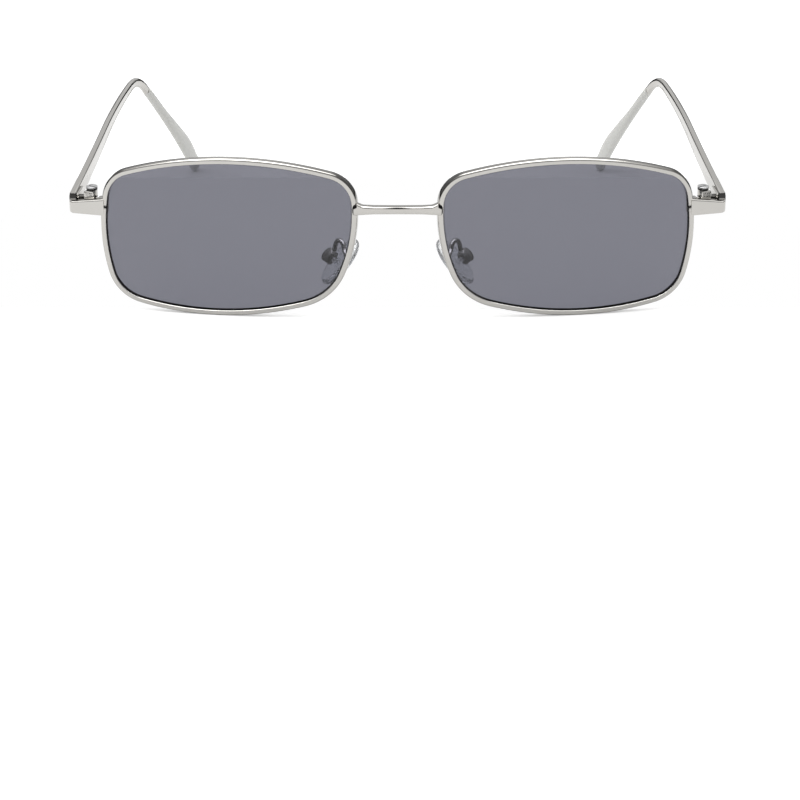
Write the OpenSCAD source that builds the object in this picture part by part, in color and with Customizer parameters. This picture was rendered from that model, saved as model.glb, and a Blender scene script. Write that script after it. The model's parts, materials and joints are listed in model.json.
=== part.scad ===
// Narrow rectangular sunglasses in silver metal, standing on a table with the temples open.
// The front is drawn upright, with the nose at x = 0, +X to the right, +Y backwards to the
// temple tips and z = 0 at the middle of the rims. The whole pair is then tipped forward by
// rest_tilt, so that it stands on the lower rims and on the two tips, with the table at z = 0.

/* [Front] */
// Width of one rim in its own plane
rim_w = 57.1; // [52:0.1:60]
// Height of one rim
rim_h = 36.5; // [33:0.1:40]
// Smallest distance between the two rims
rim_gap = 17.5; // [15.5:0.1:22]
// Angle by which each rim turns back towards the temple
face_form = 8; // [5:1:11]
// Radius of the ball that the lenses follow
base_r = 131; // [110:1:180]

/* [Rim outline] */
// Radius of the top edge
top_r = 77.2; // [65:0.1:100]
// Radius of the bottom edge
bottom_r = 82.2; // [70:0.1:110]
// Radius of the edge at the temple
temple_side_r = 44.7; // [40:0.1:60]
// Radius of the edge at the nose
nose_side_r = 35.6; // [31:0.1:45]
// How far the crown of the top edge lies towards the temple
top_crown = -2; // [-4:0.1:1]
// How far the belly of the bottom edge lies towards the temple
bottom_belly = 4.5; // [1:0.1:6]
// Height of the widest point at the temple
temple_side_z = 0.6; // [-1.5:0.1:2.5]
// Height of the widest point at the nose
nose_side_z = 6.2; // [4:0.1:7]
// Radius of the upper corner at the temple
corner_top_temple = 7.9; // [6:0.1:9.5]
// Radius of the upper corner at the nose
corner_top_nose = 7.8; // [6:0.1:9.5]
// Radius of the lower corner at the nose
corner_low_nose = 13.1; // [11:0.1:15]
// Radius of the lower corner at the temple
corner_low_temple = 8.9; // [7.5:0.1:11]

/* [Rim and lens] */
// Width of the rim wire, seen from the front
rim_face = 1.2; // [1:0.05:1.6]
// Depth of the rim wire from front to back
rim_depth = 2.1; // [2.05:0.05:2.6]
// Bevel of the rim's inner edge at the front
front_bevel = 0.25; // [0.1:0.05:0.3]
// Rounding of the rim's outer edges
rim_round = 0.42; // [0.2:0.02:0.5]
// Depth of the groove that holds the lens
groove_depth = 0.5; // [0.4:0.05:0.6]
// Thickness of the lens
lens_t = 1; // [0.9:0.05:1.05]
// How far the lens lies behind the front of the rim
lens_recess = 0.7; // [0.5:0.05:0.75]
// Play of the lens in its groove, on each side
lens_play = 0.05; // [0.03:0.01:0.08]
// Width of the cut through the rim at the lock
split_gap = 0.25; // [0.15:0.05:0.4]
// Height of the cut through the rim
split_z = 5.4; // [5:0.1:5.8]

/* [Bridge] */
// Height of the bridge's middle line above the middle of the rims
bridge_z = 7.2; // [5:0.1:9]
// Height of the bar at the nose
bridge_h = 1.7; // [1.4:0.1:2.4]
// Height of the bar where it meets the rims
bridge_end_h = 2.2; // [1.8:0.1:2.8]
// Depth of the bar from front to back
bridge_d = 2; // [1.6:0.1:2.4]
// How far the bar stands in front of the rims
bridge_proud = 0.55; // [0.4:0.05:0.9]

/* [End pieces and hinges] */
// How far the outer face of the end piece lies beyond the rim
end_reach = 7.15; // [6.4:0.05:8]
// Height of the middle of the end piece and of the hinge
hinge_z = 5.1; // [4.6:0.1:5.6]
// Length of the end piece behind its outer bend
end_return = 0.3; // [0.1:0.05:1]
// Distance of the hinge axis from the outer face of the end piece
hinge_inset = 5; // [4.6:0.05:5.1]
// Angle by which the end piece's front face slants back
end_slant = 20; // [17:1:22]
// Thickness of the end piece at the rim
end_t = 1.9; // [1.7:0.1:2]
// Height of the end piece at the rim
end_h = 3.9; // [3.4:0.05:4.4]
// Height of the end piece at its outer bend
end_outer_h = 2.8; // [2.4:0.05:3.2]
// How far the end piece sinks towards its outer bend
end_drop = 0.85; // [0:0.05:1]
// How far the end piece stands in front of the rim
end_proud = 0.4; // [0.3:0.05:0.6]
// Radius of the hinge barrels
barrel_r = 1.2; // [1.1:0.05:1.25]
// Height of the three barrels together
barrel_h = 4.5; // [4.2:0.1:5]
// How far the middle of the barrels lies above the middle of the end piece
hinge_lift = 0.35; // [0:0.05:0.5]
// Gap between neighbouring barrels
barrel_gap = 0.1; // [0.08:0.01:0.15]
// Radius of the hinge screw's shank
pin_r = 0.7; // [0.6:0.05:0.8]
// Play between the shank and the barrel that turns on it
pin_play = 0.05; // [0.03:0.01:0.08]
// Radius of the hinge screw's head
head_r = 1.25; // [1.1:0.05:1.4]
// Height of the hinge screw's head
head_h = 0.7; // [0.5:0.05:0.9]
// Thickness of the hinge plates
leaf_t = 0.5; // [0.4:0.05:0.55]
// Length of the hinge plate on the temple
leaf_len = 6.5; // [5:0.5:8]
// How far the joint between the temple and the end piece lies in front of the hinge axis
butt_ahead = 0.7; // [0:0.05:0.8]
// Gap between the temple and the end piece when the temple is open
butt_gap = 0.25; // [0.2:0.05:0.4]
// Radius of the rim lock screw's shank
lock_pin_r = 0.6; // [0.5:0.05:0.65]

/* [Temples] */
// Length of the temple along its curve, from the end piece to the end of the tip
temple_len = 139; // [130:1:150]
// Length of the plastic tip along the curve
tip_len = 41; // [37:0.5:43]
// Thickness of the metal strip
strip_t = 1.55; // [1.4:0.05:1.7]
// Height of the strip at the hinge
strip_h = 3.8; // [3.6:0.1:4.2]
// Length over which the strip keeps its full height
strip_level = 10; // [6:1:16]
// Height of the strip a third of the way back
strip_mid_h = 3.3; // [2.8:0.1:3.5]
// Height of the strip where the bend starts
strip_end_h = 2.3; // [2:0.1:2.5]
// Angle by which the open temples converge at the hinge
converge = 4.7; // [3:0.1:5.5]
// Angle by which they converge in the middle of the straight part
converge_mid = 1.7; // [1:0.1:3]
// Angle by which they converge where the bend starts
converge_end = 3.9; // [3:0.1:5]
// Slope of the slight arch at both ends of the straight part
arch = 3.7; // [2:0.1:4.5]
// Angle by which the tip drops behind the bend
tip_drop = 44; // [40:0.5:48]
// How much steeper the tip is at its end
tip_sag = 8; // [4:0.5:10]
// Angle by which the tip turns in towards the head
tip_turn = 17.3; // [14:0.2:22]
// How much of that turn the tip loses again by its end
tip_ease = 0.4; // [0:0.1:4]
// Length of the bend
bend_len = 9.5; // [8:0.5:12]
// Length before the bend over which the temple starts to turn in
turn_lead = 4; // [2:0.5:8]
// Radius of the core wire inside the tip
core_r = 0.6; // [0.5:0.05:0.7]
// Distance from the end of the core wire to the end of the tip
core_short = 9; // [6:0.5:14]
// Thickness of the tip
tip_t = 2.2; // [2:0.1:2.6]
// Height of the tip at its neck
tip_neck_h = 1.9; // [1.8:0.05:2.3]
// Height of the tip at its widest
tip_h = 4.6; // [4:0.05:5.2]

/* [Nose pads] */
// Distance of the pad's pivot from the rim's edge beside it, away from the nose
pad_out = 3.7; // [3.4:0.1:4.4]
// Distance of the pad's pivot behind the back of the rim
pad_behind = 6.3; // [6:0.1:7.1]
// Height of the pad's pivot
pad_z = -6.5; // [-7:0.1:-6]
// How far the middle of the pad lies above its pivot, along the pad
pad_rise = 0.4; // [0:0.1:0.8]
// Length of the pad
pad_len = 12; // [11:0.5:13]
// Width of the pad
pad_w = 7.2; // [6.4:0.1:7.6]
// Thickness of the pad at its middle
pad_t = 2.4; // [2:0.1:2.8]
// Lean of the pad, its top towards the nose
pad_lean = 42; // [36:1:44]
// Turn of the pad, its front edge towards the nose
pad_splay = 22; // [18:1:26]
// Radius of the cup that holds the pad
cup_r = 1.7; // [1.6:0.05:1.8]
// Radius of the screw that the pad rocks on
pad_pin_r = 0.35; // [0.3:0.05:0.4]
// Radius of the arm's wire
arm_r = 0.52; // [0.45:0.01:0.6]

/* [Hidden] */
$fn = 48;

metal = [0.78, 0.78, 0.76];
bright = [0.88, 0.88, 0.87];
tint = [0.36, 0.36, 0.4, 0.6];
silicone = [0.86, 0.88, 0.9, 0.7];
milky = [0.8, 0.8, 0.77];

// Longest chord and widest turn between two rings of the rim
arc_step = 4.5;
turn_step = 13;
// Small amount by which cutting solids run past what they cut
over = 0.5;
// Play of a screw in the bore that it is screwed into
thread_play = 0.02;

// Helpers for vectors and curves
function unit(v) = v / norm(v);
function heading(v) = atan2(v[1], v[0]);
function circle_cross(ca, ra, cb, rb) =
    let (
        d = cb - ca,
        l = norm(d),
        along = (ra * ra - rb * rb + l * l) / (2 * l),
        across = sqrt(ra * ra - along * along),
        e = d / l
    )
    ca + e * along + [-e[1], e[0]] * across;
function up_to(a, ref) = a < ref ? up_to(a + 360, ref) : a;
function spline_at(p, i, t) =
    let (
        a = p[max(i - 1, 0)],
        b = p[i],
        c = p[i + 1],
        d = p[min(i + 2, len(p) - 1)]
    )
    0.5 * ((2 * b) + (c - a) * t + (2 * a - 5 * b + 4 * c - d) * t * t
        + (3 * b - a - 3 * c + d) * t * t * t);
function spline(p, steps) = concat(
    [for (i = [0 : len(p) - 2], k = [0 : steps - 1]) spline_at(p, i, k / steps)],
    [p[len(p) - 1]]
);

// A squared oval: power 1 gives an ellipse, lower powers a box with round corners
function squared(c, power) = sign(c) * pow(abs(c), power);
function oval(w, h, power, count) = [
    for (i = [0 : count - 1])
        let (a = 360 * (i + 0.5) / count)
        [w / 2 * squared(cos(a), power), h / 2 * squared(sin(a), power)]
];

// A closed skin over rings that all have the same number of points and run anticlockwise
// about the way they are laid
module skin(rings) {
    n = len(rings[0]);
    last = len(rings) - 1;
    faces = concat(
        [[for (j = [0 : n - 1]) j]],
        [for (i = [0 : last - 1], j = [0 : n - 1])
            let (a = i * n + j, b = i * n + (j + 1) % n)
            each [[a, b + n, b], [a, a + n, b + n]]],
        [[for (j = [0 : n - 1]) last * n + n - 1 - j]]
    );
    polyhedron([for (r = rings, p = r) p], faces, convexity = 6);
}

// The rim outline: four large arcs joined by four corner arcs, seen from the front with u
// towards the temple. Every offset of it keeps the same centres.
top_c = [top_crown, rim_h / 2 - top_r];
bottom_c = [bottom_belly, bottom_r - rim_h / 2];
temple_c = [rim_w / 2 - temple_side_r, temple_side_z];
nose_c = [nose_side_r - rim_w / 2, nose_side_z];
corner_a = circle_cross(temple_c, temple_side_r - corner_top_temple,
    top_c, top_r - corner_top_temple);
corner_b = circle_cross(top_c, top_r - corner_top_nose, nose_c, nose_side_r - corner_top_nose);
corner_c = circle_cross(nose_c, nose_side_r - corner_low_nose,
    bottom_c, bottom_r - corner_low_nose);
corner_d = circle_cross(bottom_c, bottom_r - corner_low_temple,
    temple_c, temple_side_r - corner_low_temple);
split_a = asin((split_z - temple_side_z) / temple_side_r);
split_half = split_gap / 2 / temple_side_r * 180 / PI;

// Headings at which one arc hands over to the next, counted upwards from the rim's cut
turn_a = up_to(heading(corner_a - temple_c), 0);
turn_b = up_to(heading(corner_a - top_c), turn_a);
turn_c = up_to(heading(corner_b - top_c), turn_b);
turn_d = up_to(heading(corner_b - nose_c), turn_c);
turn_e = up_to(heading(corner_c - nose_c), turn_d);
turn_f = up_to(heading(corner_c - bottom_c), turn_e);
turn_g = up_to(heading(corner_d - bottom_c), turn_f);
turn_h = up_to(heading(corner_d - temple_c), turn_g);

// Each arc is its centre, radius, first heading and last heading
outline_arcs = [
    [temple_c, temple_side_r, split_a + split_half, turn_a],
    [corner_a, corner_top_temple, turn_a, turn_b],
    [top_c, top_r, turn_b, turn_c],
    [corner_b, corner_top_nose, turn_c, turn_d],
    [nose_c, nose_side_r, turn_d, turn_e],
    [corner_c, corner_low_nose, turn_e, turn_f],
    [bottom_c, bottom_r, turn_f, turn_g],
    [corner_d, corner_low_temple, turn_g, turn_h],
    [temple_c, temple_side_r, turn_h, split_a - split_half + 360]
];
function arc_steps(arc) =
    let (turn = arc[3] - arc[2])
    max(ceil(turn / turn_step), ceil(turn * PI / 180 * arc[1] / arc_step));
function on_arc(arc, a) = [arc[0] + arc[1] * [cos(a), sin(a)], [cos(a), sin(a)]];
function arc_points(arc) = [
    for (k = [0 : arc_steps(arc) - 1])
        on_arc(arc, arc[2] + (arc[3] - arc[2]) * k / arc_steps(arc))
];
last_arc = outline_arcs[len(outline_arcs) - 1];
// Points on the rim's outer edge, each with its outward direction
outline = concat([for (arc = outline_arcs) each arc_points(arc)], [on_arc(last_arc, last_arc[3])]);

// Depth of the lens ball behind its front, and a point of the rim as it stands in the frame
function ball(u, v) = base_r - sqrt(base_r * base_r - u * u - v * v);
function temple_u(v) = temple_c[0] + sqrt(pow(temple_side_r, 2) - pow(v - temple_c[1], 2));
function nose_u(v) = nose_c[0] - sqrt(pow(nose_side_r, 2) - pow(v - nose_c[1], 2));
rim_cx = rim_gap / 2 + rim_w / 2 * cos(face_form) + ball(rim_w / 2, 0) * sin(face_form);
rim_cy = bridge_proud - nose_u(bridge_z) * sin(face_form)
    - ball(nose_u(bridge_z), bridge_z) * cos(face_form);
function rim_point(u, v, depth) =
    let (d = ball(u, v) + depth)
    [rim_cx + u * cos(face_form) - d * sin(face_form),
        rim_cy + u * sin(face_form) + d * cos(face_form), v];

// Width across the outer faces of the two end pieces, and the places of the pads
total_w = 2 * (rim_point(rim_w / 2, temple_side_z, 0)[0] + end_reach);
pad_x = rim_point(nose_u(pad_z), pad_z, 0)[0] + pad_out;
pad_y = rim_point(nose_u(pad_z), pad_z, rim_depth)[1] + pad_behind;

// The end piece's plate: x runs along its front from the rim outwards, y backwards
plate_x = rim_point(temple_u(hinge_z) - rim_face * 0.8, hinge_z, 0)[0];
plate_y = rim_point(temple_u(hinge_z), hinge_z, 0)[1] - end_proud + end_t / 2;
bend_r = strip_t / 2 + 0.025;
plate_len = (total_w / 2 - strip_t / 2 - bend_r * (1 - sin(end_slant)) - plate_x) / cos(end_slant);
butt_y = plate_y + plate_len * sin(end_slant) + bend_r * cos(end_slant) + end_return;
hinge_y = butt_y + butt_ahead;
module in_plate() {
    translate([plate_x, plate_y, hinge_z]) rotate([0, 0, end_slant]) children();
}
axis_x = total_w / 2 - hinge_inset;
axis_local = [
    (axis_x - plate_x) * cos(end_slant) + (hinge_y - plate_y) * sin(end_slant),
    (hinge_y - plate_y) * cos(end_slant) - (axis_x - plate_x) * sin(end_slant)
];
module at_hinge() {
    translate([axis_x, hinge_y, hinge_z + hinge_lift]) children();
}

// Section of the rim wire: the first number runs outwards and the second backwards
groove_front = lens_recess - lens_play;
groove_back = lens_recess + lens_t + lens_play;
back_bevel = 0.12;
function quarter(cx, cy, r, from) = [
    for (k = [0 : 2]) [cx + r * cos(from + 45 * k), cy + r * sin(from + 45 * k)]
];
rim_shell = concat(
    quarter(-rim_round, rim_round, rim_round, -90),
    quarter(-rim_round, rim_depth - rim_round, rim_round, 0),
    [[back_bevel - rim_face, rim_depth], [-rim_face, rim_depth - back_bevel]]
);
rim_channel = [
    [-rim_face, groove_back], [groove_depth - rim_face, groove_back],
    [groove_depth - rim_face, groove_front], [-rim_face, groove_front]
];
rim_front = [[-rim_face, front_bevel], [front_bevel - rim_face, 0]];
rim_section = concat(rim_shell, rim_channel, rim_front);
rim_envelope = concat(rim_shell, rim_front);

function rim_ring(q, section) = [
    for (s = section)
        let (p = q[0] + q[1] * s[0])
        [p[0], ball(p[0], p[1]) + s[1], p[1]]
];
module rim_skin(points, section) {
    skin([for (q = points) rim_ring(q, section)]);
}

// The rim's own points beside the nose and beside the temple, for cuts that fit it
near_nose = [for (i = [3 : 5]) each arc_points(outline_arcs[i])];
near_temple = concat(
    arc_points(outline_arcs[7]), arc_points(last_arc), [on_arc(last_arc, last_arc[3])],
    arc_points(outline_arcs[0]), arc_points(outline_arcs[1])
);
module in_rim() {
    translate([rim_cx, rim_cy, 0]) rotate([0, 0, face_form]) children();
}

// The temple's middle line: its heading and slope follow the length s from the end piece.
// The straight part has a slight arch, the bend drops and turns in, and the tip runs on.
tip_start = temple_len - tip_len;
bend_end = tip_start - 1;
bend_start = bend_end - bend_len;
core_end = temple_len - core_short;
function yaw(s) = lookup(s, [
    [0, converge], [bend_start / 2, converge_mid], [bend_start - turn_lead, converge_end],
    [bend_end, converge_end + tip_turn], [temple_len, converge_end + tip_turn - tip_ease]
]);
function slope(s) = lookup(s, [
    [0, arch], [bend_start, -arch], [bend_end, -tip_drop], [temple_len, -tip_drop - tip_sag]
]);
function spread(from, to, count) = [for (k = [0 : count - 1]) from + (to - from) * k / count];
strip_stations = concat(
    spread(0, bend_start - turn_lead, 9), spread(bend_start - turn_lead, tip_start, 11)
);
core_stations = concat([tip_start, tip_start + 0.1], spread(tip_start + 4, core_end, 8),
    [core_end]);
tip_stations = concat(spread(tip_start, temple_len - tip_h / 2, 11),
    [for (k = [0 : 5]) temple_len - tip_h / 2 + tip_h / 2 * sin(15 * k + 8)]);
function travel(s) = [-sin(yaw(s)) * cos(slope(s)), cos(yaw(s)) * cos(slope(s)), sin(slope(s))];
function outward(s) = [cos(yaw(s)), sin(yaw(s)), 0];
function upward(s) = [sin(yaw(s)) * sin(slope(s)), -cos(yaw(s)) * sin(slope(s)), cos(slope(s))];
temple_root = [total_w / 2 - strip_t / 2, butt_y + butt_gap, hinge_z];
track_step = 0.5;
track = [
    for (i = 0, p = temple_root; i <= ceil(temple_len / track_step);
        p = p + track_step * travel((i + 0.5) * track_step), i = i + 1) p
];
function on_track(s) =
    let (i = min(floor(s / track_step), len(track) - 2), t = s / track_step - i)
    track[i] + (track[i + 1] - track[i]) * t;
function station_ring(s, section, lift) = [
    for (q = section) on_track(s) - outward(s) * q[0] + upward(s) * (q[1] + lift)
];

// How square the sections of the strip and the tip are, and the points in the strip's section
strip_power = 0.3;
tip_power = 0.8;
strip_sides = 12;

// Height of the tip along its length, with a round end
tip_round = tip_h / 2;
function round_off(s, r) = s < temple_len - r ? 1
    : sqrt(max(0.01, 1 - pow((s - temple_len + r) / r, 2)));
function tip_height(s) = lookup(s, [
    [tip_start, tip_neck_h], [tip_start + tip_len * 0.3, tip_neck_h + 0.3],
    [tip_start + tip_len * 0.55, (tip_neck_h + tip_h) / 2 + 0.2],
    [tip_start + tip_len * 0.75, tip_h], [tip_start + tip_len * 0.93, tip_h - 0.7]
]);

function tip_lift(s) = (tip_height(s) * round_off(s, tip_round) - tip_neck_h) / 2
    + tip_height(s) * (1 - round_off(s, tip_round)) * 0.35;
function tip_ring(s) = station_ring(s,
    oval(tip_t * round_off(s, tip_round * 0.7), tip_height(s) * round_off(s, tip_round),
        tip_power, 16),
    tip_lift(s));

// The tilt at which the lower rims and the tips stand on the table together
rim_low = rim_point(bottom_belly, -rim_h / 2, rim_round);
tip_points = [for (s = tip_stations, p = tip_ring(s)) p];
rest_tilt = max([for (p = tip_points) atan((rim_low[2] - p[2]) / (p[1] - rim_low[1]))]);
rest_lift = -(rim_low[2] * cos(rest_tilt) + rim_low[1] * sin(rest_tilt));
front_y = -(bridge_z + bridge_h / 2) * sin(rest_tilt);
back_y = max([for (p = tip_points) p[1] * cos(rest_tilt) - p[2] * sin(rest_tilt)]);
mid_y = (front_y + back_y) / 2;

module standing() {
    translate([0, -mid_y, rest_lift]) rotate([rest_tilt, 0, 0]) children();
}
module on_side(side) {
    standing() mirror([side < 0 ? 1 : 0, 0, 0]) children();
}

module bridge_bar() {
    reach = rim_point(nose_u(bridge_z) + rim_face * 0.88, bridge_z, 0)[0];
    foot = rim_point(nose_u(bridge_z), bridge_z, 0)[0];
    ends = [for (k = [1 : 4]) foot + (reach - foot) * sin(22.5 * k)];
    xs = concat([for (k = [3 : -1 : 0]) -ends[k]], spread(-foot, foot, 12), [foot], ends);
    function end_round(x) = abs(x) < reach - 0.5 ? 1
        : 0.45 + 0.55 * sqrt(max(0, 1 - pow((abs(x) - reach + 0.5) / 0.5, 2)));
    function half_h(x) = lookup(abs(x), [[0, bridge_h / 2], [foot, bridge_end_h / 2]]);
    function gusset(x) = lookup(abs(x), [
        [foot - 1.2, 0], [foot, 0.5], [foot + 0.5, 0.2], [reach, 0]
    ]);
    skin([for (x = xs) [
        for (q = oval(bridge_d, 2, 0.45, 14))
            [x, bridge_d / 2 + q[0] * end_round(x),
                bridge_z + q[1] * half_h(x) * end_round(x) + (q[1] > 0 ? gusset(x) : 0)]
    ]]);
}

module bridge() {
    color(metal) standing() difference() {
        bridge_bar();
        for (side = [0, 1]) mirror([side, 0, 0]) in_rim() rim_skin(near_nose, rim_envelope);
    }
}

module rim(side) {
    color(bright) on_side(side) in_rim() rim_skin(outline, rim_section);
}

module lens(side) {
    edge = rim_face - groove_depth + lens_play;
    color(tint) on_side(side) in_rim() intersection() {
        rotate([90, 0, 0]) linear_extrude(base_r, center = true)
            polygon([for (q = outline) q[0] - q[1] * edge]);
        difference() {
            translate([0, base_r + lens_recess, 0]) sphere(base_r, $fn = 180);
            translate([0, base_r + lens_recess + lens_t, 0]) sphere(base_r, $fn = 180);
        }
    }
}

// How much lower the end piece is than the temple where the two meet
butt_step = 0.3;

// A bent plate: along the front, round the outer corner and back to the temple
module end_piece(side) {
    ends = concat(
        [for (k = [0 : 3]) [plate_len * k / 4, 0]],
        [for (k = [0 : 6]) [plate_len, (90 - end_slant) * k / 6]]
    );
    function rail(l, turn) = [
        plate_x + l * cos(end_slant) + bend_r * (sin(end_slant + turn) - sin(end_slant)),
        plate_y + l * sin(end_slant) + bend_r * (cos(end_slant) - cos(end_slant + turn))
    ];
    function ring(p, dir, w, h, drop) = [
        for (q = oval(w, h, 0.35, 16))
            [p[0] - q[0] * sin(dir), p[1] + q[0] * cos(dir), hinge_z + q[1] - drop]
    ];
    color(metal) on_side(side) difference() {
        skin(concat(
            [for (e = ends)
                let (out = e[0] / plate_len, t = (out + e[1] / (90 - end_slant)) / 2)
                ring(rail(e[0], e[1]), end_slant + e[1], end_t + (strip_t - end_t) * t,
                    end_h + (end_outer_h - end_h) * out, end_drop * out)],
            [ring(rail(plate_len, 90 - end_slant) + [0, end_return], 90, strip_t,
                strip_h - butt_step, 0)]
        ));
        in_rim() rim_skin(near_temple, rim_envelope);
    }
}

// The rim lock: two blocks on the rim's two ends, drawn together by a screw from below
lock_x = 1.5;
lock_d = 2.2;
lock_w = 2.3;
lock_y = (end_t + lock_d) / 2;
lock_top = 1.25;
lock_low = -2;
lock_round = lock_w / 2 + 0.2;
lock_cut = split_z - hinge_z;
lock_head_r = 1.05;
lock_head_h = 0.5;
module lock_block(side, low, high, bore) {
    color(metal) on_side(side) difference() {
        in_plate() translate([lock_x, lock_y, 0]) difference() {
            intersection() {
                translate([-lock_w / 2, -lock_d / 2, low]) cube([lock_w, lock_d, high - low]);
                translate([0, 0, low]) cylinder(r = lock_round, h = high - low);
            }
            translate([0, 0, low - over]) cylinder(r = bore, h = high - low + 2 * over);
        }
        in_rim() rim_skin(near_temple, rim_envelope);
    }
}

module rim_lock_upper(side) {
    lock_block(side, lock_cut + split_gap / 2, lock_top, lock_pin_r + thread_play);
}

module rim_lock_lower(side) {
    lock_block(side, lock_low, lock_cut - split_gap / 2, lock_pin_r + pin_play);
}

// A round screw head with a slot for the driver
slot_w = 0.3;
slot_depth = 0.3;
module slotted_head(r, h) {
    difference() {
        cylinder(r = r, h = h);
        translate([-r - over, -slot_w / 2, h - slot_depth])
            cube([2 * (r + over), slot_w, slot_depth + over]);
    }
}

module rim_screw(side) {
    color(bright) on_side(side) in_plate() translate([lock_x, lock_y, 0]) {
        translate([0, 0, lock_low]) cylinder(r = lock_pin_r, h = lock_top - lock_low);
        translate([0, 0, lock_low]) mirror([0, 0, 1]) slotted_head(lock_head_r, lock_head_h);
    }
}

// The hinge has three barrels: the outer two on the end piece and the middle one on the temple
barrel_one = (barrel_h - 2 * barrel_gap) / 3;
// Clearance round the middle barrel where it turns past the hinge plate
barrel_clear = 0.1;

module front_hinge(side) {
    leaf_y = end_t / 2;
    color(metal) on_side(side) difference() {
        union() {
            in_plate()
                translate([axis_local[0] - barrel_r - 0.2, leaf_y, hinge_lift - barrel_h / 2])
                    cube([2 * barrel_r + 0.2, leaf_t, barrel_h]);
            for (low = [-barrel_h / 2, barrel_h / 2 - barrel_one]) {
                at_hinge() translate([0, 0, low]) cylinder(r = barrel_r, h = barrel_one);
                in_plate() translate([axis_local[0] - barrel_r + 0.2, leaf_y, hinge_lift + low])
                    cube([2 * barrel_r - 0.4, axis_local[1] - leaf_y, barrel_one]);
            }
        }
        at_hinge() cylinder(r = pin_r + thread_play, h = barrel_h + 2 * over, center = true);
        at_hinge()
            cylinder(r = barrel_r + barrel_clear, h = barrel_one + 2 * barrel_gap, center = true);
    }
}

module hinge_screw(side) {
    color(bright) on_side(side) at_hinge() {
        translate([0, 0, -barrel_h / 2]) cylinder(r = pin_r, h = barrel_h);
        translate([0, 0, barrel_h / 2]) rotate([0, 0, 35]) slotted_head(head_r, head_h);
    }
}

module temple_hinge(side) {
    leaf_h = strip_h - 0.5;
    inner = oval(strip_t, strip_h, strip_power, strip_sides)[0][0];
    color(metal) on_side(side) difference() {
        union() {
            translate(temple_root) rotate([0, 0, converge]) {
                translate([-inner - leaf_t, 0.2, -leaf_h / 2])
                    cube([leaf_t, leaf_len - leaf_h / 2, leaf_h]);
                translate([-inner - leaf_t, leaf_len + 0.2 - leaf_h / 2, 0]) rotate([0, 90, 0])
                    cylinder(r = leaf_h / 2, h = leaf_t);
            }
            at_hinge() translate([0, 0, -barrel_one / 2]) {
                cylinder(r = barrel_r, h = barrel_one);
                cube([hinge_inset - strip_t - leaf_t / 2, barrel_r, barrel_one]);
            }
        }
        at_hinge() cylinder(r = pin_r + pin_play, h = barrel_one + 2 * over, center = true);
    }
}

module temple(side) {
    function strip_ring(s) =
        let (
            power = strip_power + (tip_power - strip_power) * s / tip_start,
            h = lookup(s, [[strip_level, strip_h], [temple_len / 3, strip_mid_h],
                [bend_start, strip_end_h], [tip_start, strip_end_h - 0.2]])
        )
        station_ring(s, oval(strip_t, h, power, strip_sides), 0);
    core = oval(core_r * 2, core_r * 2, 1, strip_sides);
    color(metal) on_side(side) skin(concat(
        [for (s = strip_stations) strip_ring(s)],
        [for (s = core_stations) station_ring(s, core, 0)]
    ));
}

module temple_tip(side) {
    bore_w = 2 * (core_r + pin_play);
    bore = oval(bore_w, bore_w, 1, strip_sides);
    color(milky) on_side(side) difference() {
        skin([for (s = tip_stations) tip_ring(s)]);
        skin([for (s = concat([tip_start - 1], core_stations, [core_end + 0.3]))
            station_ring(s, bore, 0)]);
    }
}

// The pad's own frame: x forwards across the pad, y up along it, z out of its face to the nose
module in_pad() {
    translate([pad_x, pad_y, pad_z]) rotate([0, 0, -pad_splay]) rotate([0, -pad_lean, 0])
        rotate([0, 0, -90]) rotate([90, 0, 0]) children();
}
function pad_to_front(p) =
    let (
        a = [-p[2], -p[0], p[1]],
        b = [a[0] * cos(pad_lean) - a[2] * sin(pad_lean), a[1],
            a[0] * sin(pad_lean) + a[2] * cos(pad_lean)]
    )
    [pad_x + b[0] * cos(pad_splay) + b[1] * sin(pad_splay),
        pad_y - b[0] * sin(pad_splay) + b[1] * cos(pad_splay), pad_z + b[2]];
cup_low = -1.3;
cup_high = 0.6;
cup_mid = (cup_low + cup_high) / 2;
boss_w = 1.1;
boss_r = 0.8;
boss_play = 0.08;
pad_back = cup_high + 1.3;

module pad_box(side) {
    color(metal) on_side(side) in_pad() difference() {
        translate([0, 0, cup_low]) cylinder(r = cup_r, h = cup_high - cup_low);
        translate([-boss_w / 2 - boss_play, -cup_r - over, -boss_r - 0.1])
            cube([boss_w + 2 * boss_play, 2 * (cup_r + over), cup_high + boss_r + over]);
        rotate([0, 90, 0])
            cylinder(r = pad_pin_r + thread_play, h = 2 * (cup_r + over), center = true);
    }
}

module pad_screw(side) {
    color(bright) on_side(side) in_pad() rotate([0, 90, 0]) {
        translate([0, 0, 0.1 - cup_r]) cylinder(r = pad_pin_r, h = 2 * cup_r - 0.1);
        translate([0, 0, cup_r]) slotted_head(pad_pin_r + 0.25, 0.35);
    }
}

module nose_pad(side) {
    // Outlines from the back of the pad to its crown: height, size and shift up the pad
    function layer(h, grow) = [
        for (q = oval(pad_w * grow, pad_len * grow, 0.92, 20))
            [q[0], q[1] + pad_rise, pad_back + h]
    ];
    color(silicone) on_side(side) in_pad() difference() {
        union() {
            skin([
                layer(0, 0.9), layer(pad_t * 0.12, 0.97), layer(pad_t * 0.3, 1),
                layer(pad_t * 0.5, 0.97), layer(pad_t * 0.72, 0.86), layer(pad_t * 0.9, 0.66),
                layer(pad_t, 0.36)
            ]);
            rotate([0, 90, 0]) cylinder(r = boss_r, h = boss_w, center = true);
            translate([-boss_w / 2, -boss_r, 0]) cube([boss_w, 2 * boss_r, pad_back + 0.3]);
        }
        rotate([0, 90, 0]) cylinder(r = pad_pin_r + pin_play, h = boss_w + 2 * over, center = true);
    }
}

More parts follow.
